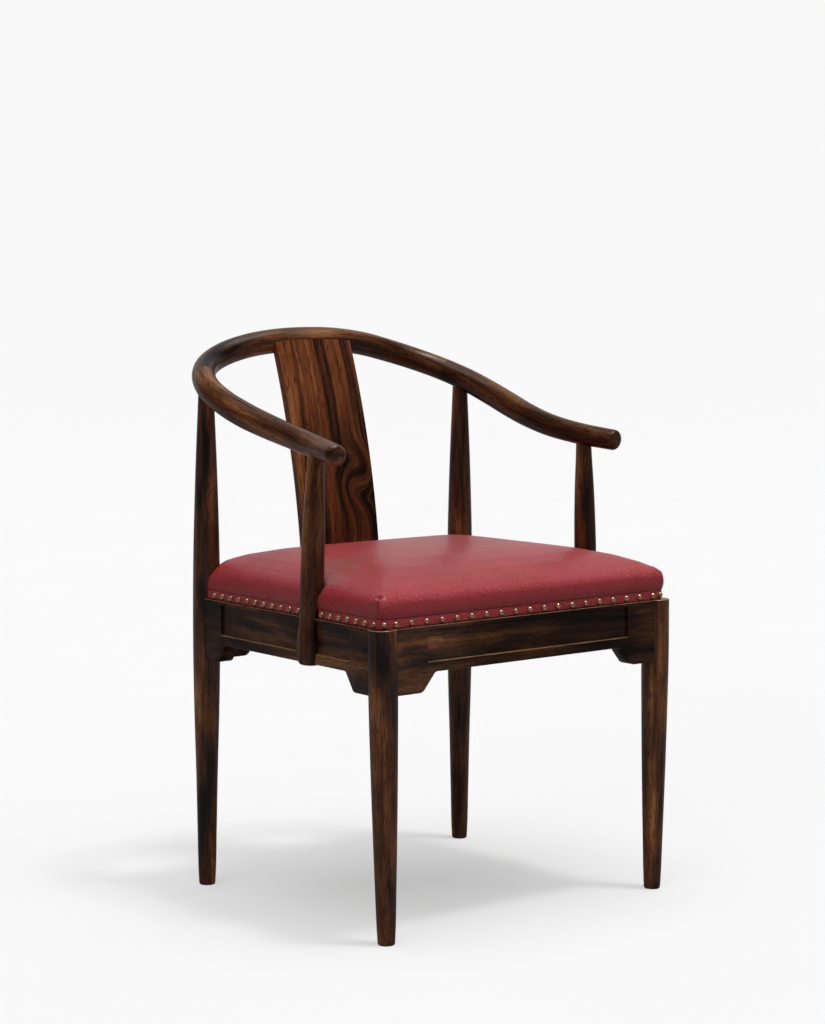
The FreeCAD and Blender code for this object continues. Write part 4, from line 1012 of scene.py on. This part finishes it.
def uprights():
    """Foot, top and radius at the seat of the four uprights that pass through it."""
    found = [(REAR_FOOT, REAR_LEG, LEG_RADIUS), (*post_ends(), POST_RADIUS)]
    return found + [(Vector((-a.x, a.y, a.z)), Vector((-b.x, b.y, b.z)), r) for a, b, r in found]


def axis_at(foot, top, z):
    """The middle line of an upright at a height."""
    return foot + (top - foot) * ((z - foot.z) / (top.z - foot.z))


def upright_gaps(point, z, standing):
    """How far a point is from the face of each upright at a height."""
    axes = [(axis_at(foot, top, z), radius) for foot, top, radius in standing]
    return [math.hypot(point.x - axis.x, point.y - axis.y) - radius for axis, radius in axes]


def pit_place(side):
    """The small pit at a front corner where the leather is gathered."""
    x = side * (side_face_x(FRONT_FACE_Y) - PIT.x)
    return Vector((x, FRONT_FACE_Y + PIT.y, SEAT_BASE + PIT.z))


class ARMCHAIR_OT_seat(PieceOperator, bpy.types.Operator):
    """Crowned leather seat, drawn over its edges and cut round the uprights"""

    bl_idname = "armchair.seat"
    bl_label = "Leather seat"

    def shell(self, sizes):
        """The leather's face as a grid whose outer rings fold down over the seat's edge."""
        columns, rows = sizes.columns, sizes.rows
        bm = bmesh.new()
        bmesh.ops.create_grid(bm, x_segments=columns, y_segments=rows, size=1.0)
        profile = seat_profile_rows(min(columns, rows) // 2)
        for vert in bm.verts:
            i, j = round((vert.co.x + 1) / 2 * columns), round((vert.co.y + 1) / 2 * rows)
            gaps = (j, columns - i, rows - j, i)
            ring = min(gaps)
            side = gaps.index(ring)
            steps = (columns if side % 2 == 0 else rows) - 2 * ring
            along = {0: i - ring, 1: j - ring, 2: columns - i - ring, 3: rows - j - ring}[side]
            share = along / steps if steps else 0.5
            inset, height = profile[ring]
            point = ring_point(inset, sizes.corner + inset * 0.35, side, share)
            blend = rising(inset, 0.004, 0.02)
            top = crown_height(point.x, point.y)
            vert.co = Vector((point.x, point.y, SEAT_BASE + height * (1 - blend) + top * blend))
            # The side walls lean in most halfway up, and not at all near the front corners
            lean = bell(vert.co.z - SEAT_BASE - 0.024, 0.014) * rising(abs(vert.co.x), 0.17, 0.05)
            lean *= rising(vert.co.y, -0.225, 0.09)
            vert.co.x -= math.copysign(sizes.lean * lean, vert.co.x)
        return bm

    def pucker(self, bm):
        """Gathers the leather at the front corners: a small pit with a lip, and a fold below it."""
        for side in (-1, 1):
            pit = pit_place(side)
            inward = Vector((-side * 0.5, 0.5, -0.7)).normalized()
            for vert in bm.verts:
                gap = (vert.co - pit).length
                if gap < 0.03:
                    vert.co += inward * (0.0042 * bell(gap, PIT_WIDTH) - 0.0012 * bell(gap - 0.0065, 0.003))
                off = vert.co - pit
                if off.z < 0 and abs(off.x) < 0.03 and abs(off.y) < 0.03:
                    line = off.x * side + off.y * 0.35 - 0.004
                    vert.co += Vector((-side * 0.4, 0.9, 0)) * 0.0009 * bell(line, 0.0016)

    def close_form(self, bm):
        """Turns the leather in under the fold and rests the stuffing on the hessian."""
        rim = [e for e in bm.edges if e.is_boundary]
        middle = Vector((0, (FRONT_FACE_Y + REAR_FACE_Y) / 2, 0))
        first = SEAT_PROFILE[0][0]
        for inset, height in TURN_IN:
            ring, rim = extruded(bm, rim)
            for vert in ring:
                base = vert.co - middle
                x = base.x * (1 - (inset - first) / SEAT_HALF_WIDTH)
                y = base.y * (1 - (inset - first) / SEAT_HALF_DEPTH)
                vert.co = middle + Vector((x, y, 0))
                vert.co.z = height
        bmesh.ops.contextual_create(bm, geom=rim)
        bmesh.ops.recalc_face_normals(bm, faces=bm.faces[:])

    def painted_shade_depth(self, place, standing):
        """How much painted shade a point gets: in the pits, folds and tucks, and a little near the base."""
        depths = []
        for side in (-1, 1):
            off = place - pit_place(side)
            depths.append(0.95 * bell(off.length, PIT_WIDTH))
            if off.z < 0 and off.length < 0.04:
                depths.append(0.45 * bell(off.x * side + off.y * 0.35 - 0.0028, 0.0014))
        for gap in upright_gaps(place, place.z, standing):
            depths.append(0.7 * bell(max(gap, 0.0), 0.0028))
        depths.append(0.6 * bell(place.z - SEAT_BASE, 0.0012))
        depths.append(0.2 * bell(max(place.z - SEAT_BASE, 0.0), 0.018))
        return max(depths)

    def execute(self, context):
        sizes = context.scene.armchair_seat
        bm = self.shell(sizes)
        if not bm.faces[:][0].normal.z > 0:
            bmesh.ops.reverse_faces(bm, faces=bm.faces[:])
        top = [v for v in bm.verts if v.co.z > SEAT_BASE + 0.03]
        bmesh.ops.smooth_vert(bm, verts=top, factor=0.5, use_axis_z=True)
        self.pucker(bm)
        self.close_form(bm)
        nodes = ["seat_cover", "seat_stuffing"]
        piece = finished("seat_leather", bm, ["cowhide_pigmented"], nodes, 60)
        standing = uprights()
        cut_by_uprights(piece, sizes, standing)
        layers = piece.data.attributes
        rubbed, crease = (layers.new(name, "FLOAT", "POINT") for name in ("rubbed", "crease"))
        for number, vert in enumerate(piece.data.vertices):
            # Painted shade in the pits, folds and tucks and along the base
            crease.data[number].value = self.painted_shade_depth(vert.co, standing)
            worn = sum(most * bell((vert.co - place).length, reach) for place, reach, most in RUBBED_PATCHES)
            worn *= 0.6 + 0.8 * noise.noise(vert.co * 38)
            rubbed.data[number].value = max(0.0, min(0.85, worn))
        return {"FINISHED"}


def cut_by_uprights(piece, sizes, standing):
    """Dips the leather round each upright and cuts it clear of them and of the splat."""
    for vert in piece.data.vertices:
        dips = [math.exp(-max(gap, 0.0) / DIP_REACH) for gap in upright_gaps(vert.co, vert.co.z, standing)]
        beside, before = abs(vert.co.x) - SPLAT_HALF, abs(vert.co.y - SPLAT_DIP_Y) - SPLAT_THICKNESS / 2
        dips.append(0.6 * math.exp(-max(beside, before, 0.0) / DIP_REACH))
        if vert.co.z > SEAT_BASE + 0.02:
            vert.co.z -= sizes.tuck * max(dips)
    cutters = bmesh.new()
    for foot, top, radius in standing:
        wide = radius + SEAT_CUT_GAP
        ends = [placed(axis_at(foot, top, z), top - foot, width=wide, depth=wide) for z in (0.38, 0.52)]
        loft(cutters, circle(48), ends)
    size = (2 * (SPLAT_HALF + SEAT_CUT_GAP), SPLAT_THICKNESS + 2 * SPLAT_CUT_GAP, 0.14)
    block(cutters, size, (0, SPLAT_CUT_Y + SPLAT_THICKNESS / 2, 0.45))
    bmesh.ops.recalc_face_normals(cutters, faces=cutters.faces[:])
    cutter = stood("cutters", cutters)
    cut = piece.modifiers.new("cut", "BOOLEAN")
    cut.operation, cut.solver, cut.object = "DIFFERENCE", "MANIFOLD", cutter
    depsgraph = bpy.context.evaluated_depsgraph_get()
    mesh = bpy.data.meshes.new_from_object(piece.evaluated_get(depsgraph))
    piece.modifiers.clear()
    piece.data = mesh
    bpy.data.objects.remove(cutter)
    smoothed(mesh, 50)


def nail_places():
    """Points on the band and directions into the wood for each row of nails."""
    height = BAND_BASE + NAIL_ABOVE_BASE
    front_y, rear_y = FRONT_FACE_Y + NAIL_INSET, REAR_FACE_Y - NAIL_INSET
    across = spaced(-FRONT_NAIL_REACH, FRONT_NAIL_REACH, 19)
    front = [(Vector((x, front_y, height)), Vector((0, 1, 0))) for x in across]
    # The two corner nails are driven from near the front, each turned by a few degrees of its own
    for side, degrees in CORNER_NAIL_TURNS:
        turn = math.radians(degrees)
        x = side_face_x(front_y) - NAIL_INSET - NAIL_CORNER * (1 - math.sin(turn))
        corner = Vector((side * x, front_y + NAIL_CORNER * (1 - math.cos(turn)), height))
        front.append((corner, Vector((-side * math.sin(turn), math.cos(turn), 0))))
    across = spaced(-REAR_NAIL_REACH, REAR_NAIL_REACH, 17)
    rear = [(Vector((x, rear_y, height)), Vector((0, -1, 0))) for x in across]
    along = spaced(REAR_LEG.y - NAIL_BEFORE_REAR_LEG, POST_Y + NAIL_BESIDE_POST, 11)
    along += spaced(POST_Y - NAIL_BESIDE_POST, FRONT_LEG.y + NAIL_BEHIND_FRONT_LEG, 7)
    right = [(Vector((side_face_x(y) - NAIL_INSET, y, height)), Vector((-1, 0, 0))) for y in along]
    left = [(Vector((-p.x, p.y, p.z)), Vector((1, 0, 0))) for p, _ in right]
    return {"nails_front": front, "nails_rear": rear, "nails_right": right, "nails_left": left}


class ARMCHAIR_OT_bands(PieceOperator, bpy.types.Operator):
    """Nailed leather bands between the seat's fold and the frame's ledge"""

    bl_idname = "armchair.bands"
    bl_label = "Leather bands"

    def runs(self):
        """The stretches of the band's line between the uprights."""
        ring = [ring_point(BAND_INSET, BAND_CORNER, side, i / 160) for side in range(4) for i in range(160)]
        standing = uprights()
        clear = [min(upright_gaps(point, 0.406, standing)) > BAND_GAP for point in ring]
        start = next(i for i in range(len(ring)) if clear[i] and not clear[i - 1])
        found = [[]]
        for number in range(start, start + len(ring)):
            index = number % len(ring)
            if clear[index]:
                found[-1].append(ring[index])
            elif found[-1]:
                found.append([])
        return [run for run in found if len(run) >= 8]

    def execute(self, context):
        heads = [Vector((p.x, p.y, 0)) for group in nail_places().values() for p, _ in group]
        section = [(math.copysign(abs(x) ** 0.5, x), math.copysign(abs(y) ** 0.25, y)) for x, y in circle(20)]
        for run in self.runs():
            centre = sum(run, Vector()) / len(run)
            if centre.y > REAR_LEG.y - 0.01:
                node = "leather_band_rear"
            elif centre.y < POST_Y - 0.02:
                node = "leather_band_front"
            else:
                node = "leather_band_left" if centre.x < 0 else "leather_band_right"
            stations = []
            for i, point in enumerate(run):
                along = run[min(i + 1, len(run) - 1)] - run[max(i - 1, 0)]
                side = along.cross(UP)
                # The leather swells between the nails
                near = min((head - point).length for head in heads)
                swell = BAND_SWELL * (1 - bell(near, 0.006)) / 2
                place = Vector((point.x, point.y, BAND_BASE + BAND_HEIGHT / 2)) + side.normalized() * swell
                stations.append(placed(place, along, side, BAND_HALF_THICKNESS + swell, BAND_HEIGHT / 2))
            bm = loft(bmesh.new(), section, stations)
            finished(node + "_strip", bm, ["cowhide_pigmented"], [node], 50)
        return {"FINISHED"}


class ARMCHAIR_OT_nails(PieceOperator, bpy.types.Operator):
    """Dome nails along the bands, each set a little differently"""

    bl_idname = "armchair.nails"
    bl_label = "Dome nails"

    def dome(self, radius):
        """One dome on its flat rim, pointing up."""
        dome = bmesh.new()
        angles = [i * math.pi / 12 for i in range(7)]
        places = [(radius * math.sin(a), 0, DOME_RIM + DOME_RISE * math.cos(a)) for a in angles]
        arc = [dome.verts.new(place) for place in places]
        edges = [dome.edges.new(pair) for pair in zip(arc, arc[1:])]
        bmesh.ops.spin(
            dome, geom=arc + edges, axis=(0, 0, 1), cent=(0, 0, 0), dvec=(0, 0, 0),
            angle=2 * math.pi, steps=14, use_merge=True,
        )
        bmesh.ops.remove_doubles(dome, verts=dome.verts[:], dist=1e-6)
        bmesh.ops.contextual_create(dome, geom=[e for e in dome.edges if e.is_boundary])
        return dome

    def execute(self, context):
        dice = random.Random(7)
        for node, places in nail_places().items():
            bm = bmesh.new()
            for head, inward in places:
                dome = self.dome(context.scene.armchair_seat.nail)
                tilt = Matrix.Rotation(dice.uniform(-0.12, 0.12), 4, "X")
                tilt = tilt @ Matrix.Rotation(dice.uniform(-0.12, 0.12), 4, "Y")
                grow = Matrix.Scale(dice.uniform(0.95, 1.05), 4)
                lift = Vector((0, 0, dice.uniform(-0.0004, 0.0004)))
                place = Matrix.Translation(head + lift) @ facing(-inward)
                bmesh.ops.transform(dome, matrix=place @ tilt @ grow, verts=dome.verts)
                mesh = bpy.data.meshes.new("dome")
                dome.to_mesh(mesh)
                dome.free()
                bm.from_mesh(mesh)
                bpy.data.meshes.remove(mesh)
            finished(node + "_domes", bm, ["brass_antiqued"], [node], 60)
        return {"FINISHED"}


def depth_ends(bearing):
    """Where a strip or cloth ends on the front and rear aprons."""
    return FRONT_FACE_Y + bearing["front"], REAR_FACE_Y - bearing["rear"]


class ARMCHAIR_OT_underside(PieceOperator, bpy.types.Operator):
    """Interlaced webbing and the hessian over it"""

    bl_idname = "armchair.underside"
    bl_label = "Webbing and hessian"

    def webbing(self, node, places, columns, rows, pitch):
        """The strips of one direction, woven over and under those of the other."""
        front, rear = depth_ends(STRIP_BEARING)
        bm = bmesh.new()
        for number, place in enumerate(places):
            strip = bmesh.ops.create_grid(bm, x_segments=2, y_segments=120, size=0.5)["verts"]
            for vert in strip:
                u, v = vert.co.x * STRIP_WIDTH, vert.co.y
                wave = 0.0
                if node == "webbing_lengthwise":
                    x, y = place + u, front * (0.5 - v) + rear * (0.5 + v)
                    if rows[0] - pitch / 2 < y < rows[-1] + pitch / 2:
                        wave = math.cos(math.pi * (y - rows[0]) / pitch + math.pi * (number % 2))
                else:
                    x, y = 2 * (side_face_x(place) - STRIP_BEARING["side"]) * v, place + u
                    near = min(range(4), key=lambda k: abs(columns[k] - x))
                    wave = bell(x - columns[near], STRIP_CROSSING) * (-1 if (near + number) % 2 == 0 else 1)
                vert.co = Vector((x, y, UPSTAND_TOP + STRIP_ABOVE_UPSTAND + STRIP_WAVE * wave))
        bmesh.ops.recalc_face_normals(bm, faces=bm.faces[:])
        bmesh.ops.solidify(bm, geom=bm.faces[:], thickness=STRIP_THICKNESS)
        return finished(node + "_strips", bm, ["jute_webbing"], [node], 60)

    def execute(self, context):
        columns = [REAR_LEG_X * share for share in LENGTHWISE_SHARES]
        pitch = LEG_SPACING * CROSS_SHARE
        rows = [POST_Y - pitch / 2 + pitch * i for i in range(3)]
        front, rear = depth_ends(STRIP_BEARING)
        across = [2 * (side_face_x(place) - STRIP_BEARING["side"]) for place in rows]
        for node, places, runs, rests in (
            ("webbing_cross", rows, across, ["side_apron_left", "side_apron_right"]),
            ("webbing_lengthwise", columns, [rear - front] * len(columns), ["front_apron", "rear_apron"]),
        ):
            strips = self.webbing(node, places, columns, rows, pitch)
        front, rear = depth_ends(HESSIAN_BEARING)
        bm = bmesh.new()
        bmesh.ops.create_grid(bm, x_segments=40, y_segments=40, size=0.5)
        for vert in bm.verts:
            y = front * (0.5 - vert.co.y) + rear * (0.5 + vert.co.y)
            vert.co = Vector((2 * vert.co.x * (side_face_x(y) - HESSIAN_BEARING["side"]), y, HESSIAN_Z))
        cloth = finished("seat_hessian_cloth", bm, ["jute_hessian"], ["seat_hessian"], 60)
        rests = ["webbing_cross_strips", "webbing_lengthwise_strips"]
        return {"FINISHED"}


class ARMCHAIR_OT_hidden(PieceOperator, bpy.types.Operator):
    """Finishes for the blocks, screws, tacks and tongues that the frame brings"""

    bl_idname = "armchair.hidden"
    bl_label = "Blocks and fastenings"

    def execute(self, context):
        for name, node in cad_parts.items():
            if node.hide_render:
                continue
            kind = "steel_drawn" if "screw" in name or "tack" in name else "beech_sawn"
            for slot in node.material_slots:
                slot.material = finish(kind)
        return {"FINISHED"}


class ARMCHAIR_OT_stage(PieceOperator, bpy.types.Operator):
    """White paper, soft studio light and the camera"""

    bl_idname = "armchair.stage"
    bl_label = "Studio"

    def sheet(self, name, material, segments, size, place):
        """A flat sheet of the studio, at its place."""
        bm = bmesh.new()
        bmesh.ops.create_grid(bm, x_segments=segments, y_segments=segments, size=size)
        bmesh.ops.transform(bm, matrix=place, verts=bm.verts)
        thing = stood(name, bm)
        thing.data.materials.append(finish(material))
        return thing

    def execute(self, context):
        scene = context.scene
        self.sheet("studio_floor", "paper_seamless", 8, 60.0, Matrix.Translation((0, 0, -0.0002)))
        away = Vector((0.63, 0.776, 0))
        place = Matrix.Translation(away * 6) @ facing(-away)
        wall = self.sheet("studio_backdrop", "cloth_backdrop", 4, 8.0, place)
        wall.visible_shadow = wall.visible_diffuse = False

        scene.world = bpy.data.worlds.new("studio")
        scene.world.use_nodes = True
        scene.world.node_tree.nodes.clear()
        node = functools.partial(add_node, scene.world.node_tree)
        glossy, camera = (node("LightPath", out=ray) for ray in ("Is Glossy Ray", "Is Camera Ray"))
        # The room lights the chair faintly, its polish less, and fills the picture behind it
        dim = node("Math", {0: glossy, 1: -0.09, 2: 0.15}, operation="MULTIPLY_ADD")
        bright = node("Math", {0: camera, 1: 0.79, 2: dim}, operation="MULTIPLY_ADD")
        sky = node("Background", {"Color": (1, 1, 1, 1), "Strength": bright})
        node("OutputWorld", {"Surface": sky})

        for name, place, width, strength in LAMPS:
            lamp = bpy.data.lights.new(name, "SUN")
            lamp.angle, lamp.energy = math.radians(width), strength
            light = bpy.data.objects.new(name, lamp)
            light.location = place
            light.visible_glossy = name.startswith("overhead")
            light.rotation_euler = (-Vector(place)).to_track_quat("-Z", "Y").to_euler()
            scene.collection.objects.link(light)

        camera = bpy.data.cameras.new("camera")
        camera.lens, camera.sensor_width, camera.sensor_fit = CAMERA_LENS, 36.0, "AUTO"
        camera.clip_end = 50
        eye = bpy.data.objects.new("camera", camera)
        eye.location = CAMERA_PLACE
        eye.rotation_euler = (CAMERA_AIM - CAMERA_PLACE).to_track_quat("-Z", "Y").to_euler()
        scene.collection.objects.link(eye)
        scene.camera = eye
        scene.view_settings.view_transform = "Standard"
        return {"FINISHED"}


OPERATORS = (
    ARMCHAIR_OT_stage, ARMCHAIR_OT_legs, ARMCHAIR_OT_posts, ARMCHAIR_OT_rail, ARMCHAIR_OT_splat,
    ARMCHAIR_OT_aprons, ARMCHAIR_OT_seat, ARMCHAIR_OT_bands, ARMCHAIR_OT_nails, ARMCHAIR_OT_underside,
    ARMCHAIR_OT_hidden,
)


class ARMCHAIR_PT_panel(bpy.types.Panel):
    """Lists the chair's operators in the sidebar"""

    bl_idname = "ARMCHAIR_PT_panel"
    bl_label = "Armchair"
    bl_space_type = "VIEW_3D"
    bl_region_type = "UI"
    bl_category = "Armchair"

    def draw(self, context):
        scene = context.scene
        for operator in OPERATORS:
            self.layout.operator(operator.bl_idname)
        for group in (scene.armchair_wood, scene.armchair_leather, scene.armchair_seat):
            for name in group.bl_rna.properties.keys():
                if name not in ("rna_type", "name"):
                    self.layout.prop(group, name)


CLASSES = (WoodFinish, LeatherFinish, SeatSizes) + OPERATORS + (ARMCHAIR_PT_panel,)


def register():
    for cls in CLASSES:
        bpy.utils.register_class(cls)
    bpy.types.Scene.armchair_wood = bpy.props.PointerProperty(type=WoodFinish)
    bpy.types.Scene.armchair_leather = bpy.props.PointerProperty(type=LeatherFinish)
    bpy.types.Scene.armchair_seat = bpy.props.PointerProperty(type=SeatSizes)


def unregister():
    del bpy.types.Scene.armchair_wood, bpy.types.Scene.armchair_leather, bpy.types.Scene.armchair_seat
    for cls in reversed(CLASSES):
        bpy.utils.unregister_class(cls)


def main():
    register()
    for operator in OPERATORS:
        group, name = operator.bl_idname.split(".")
        getattr(getattr(bpy.ops, group), name)()


if __name__ == "__main__":
    main()
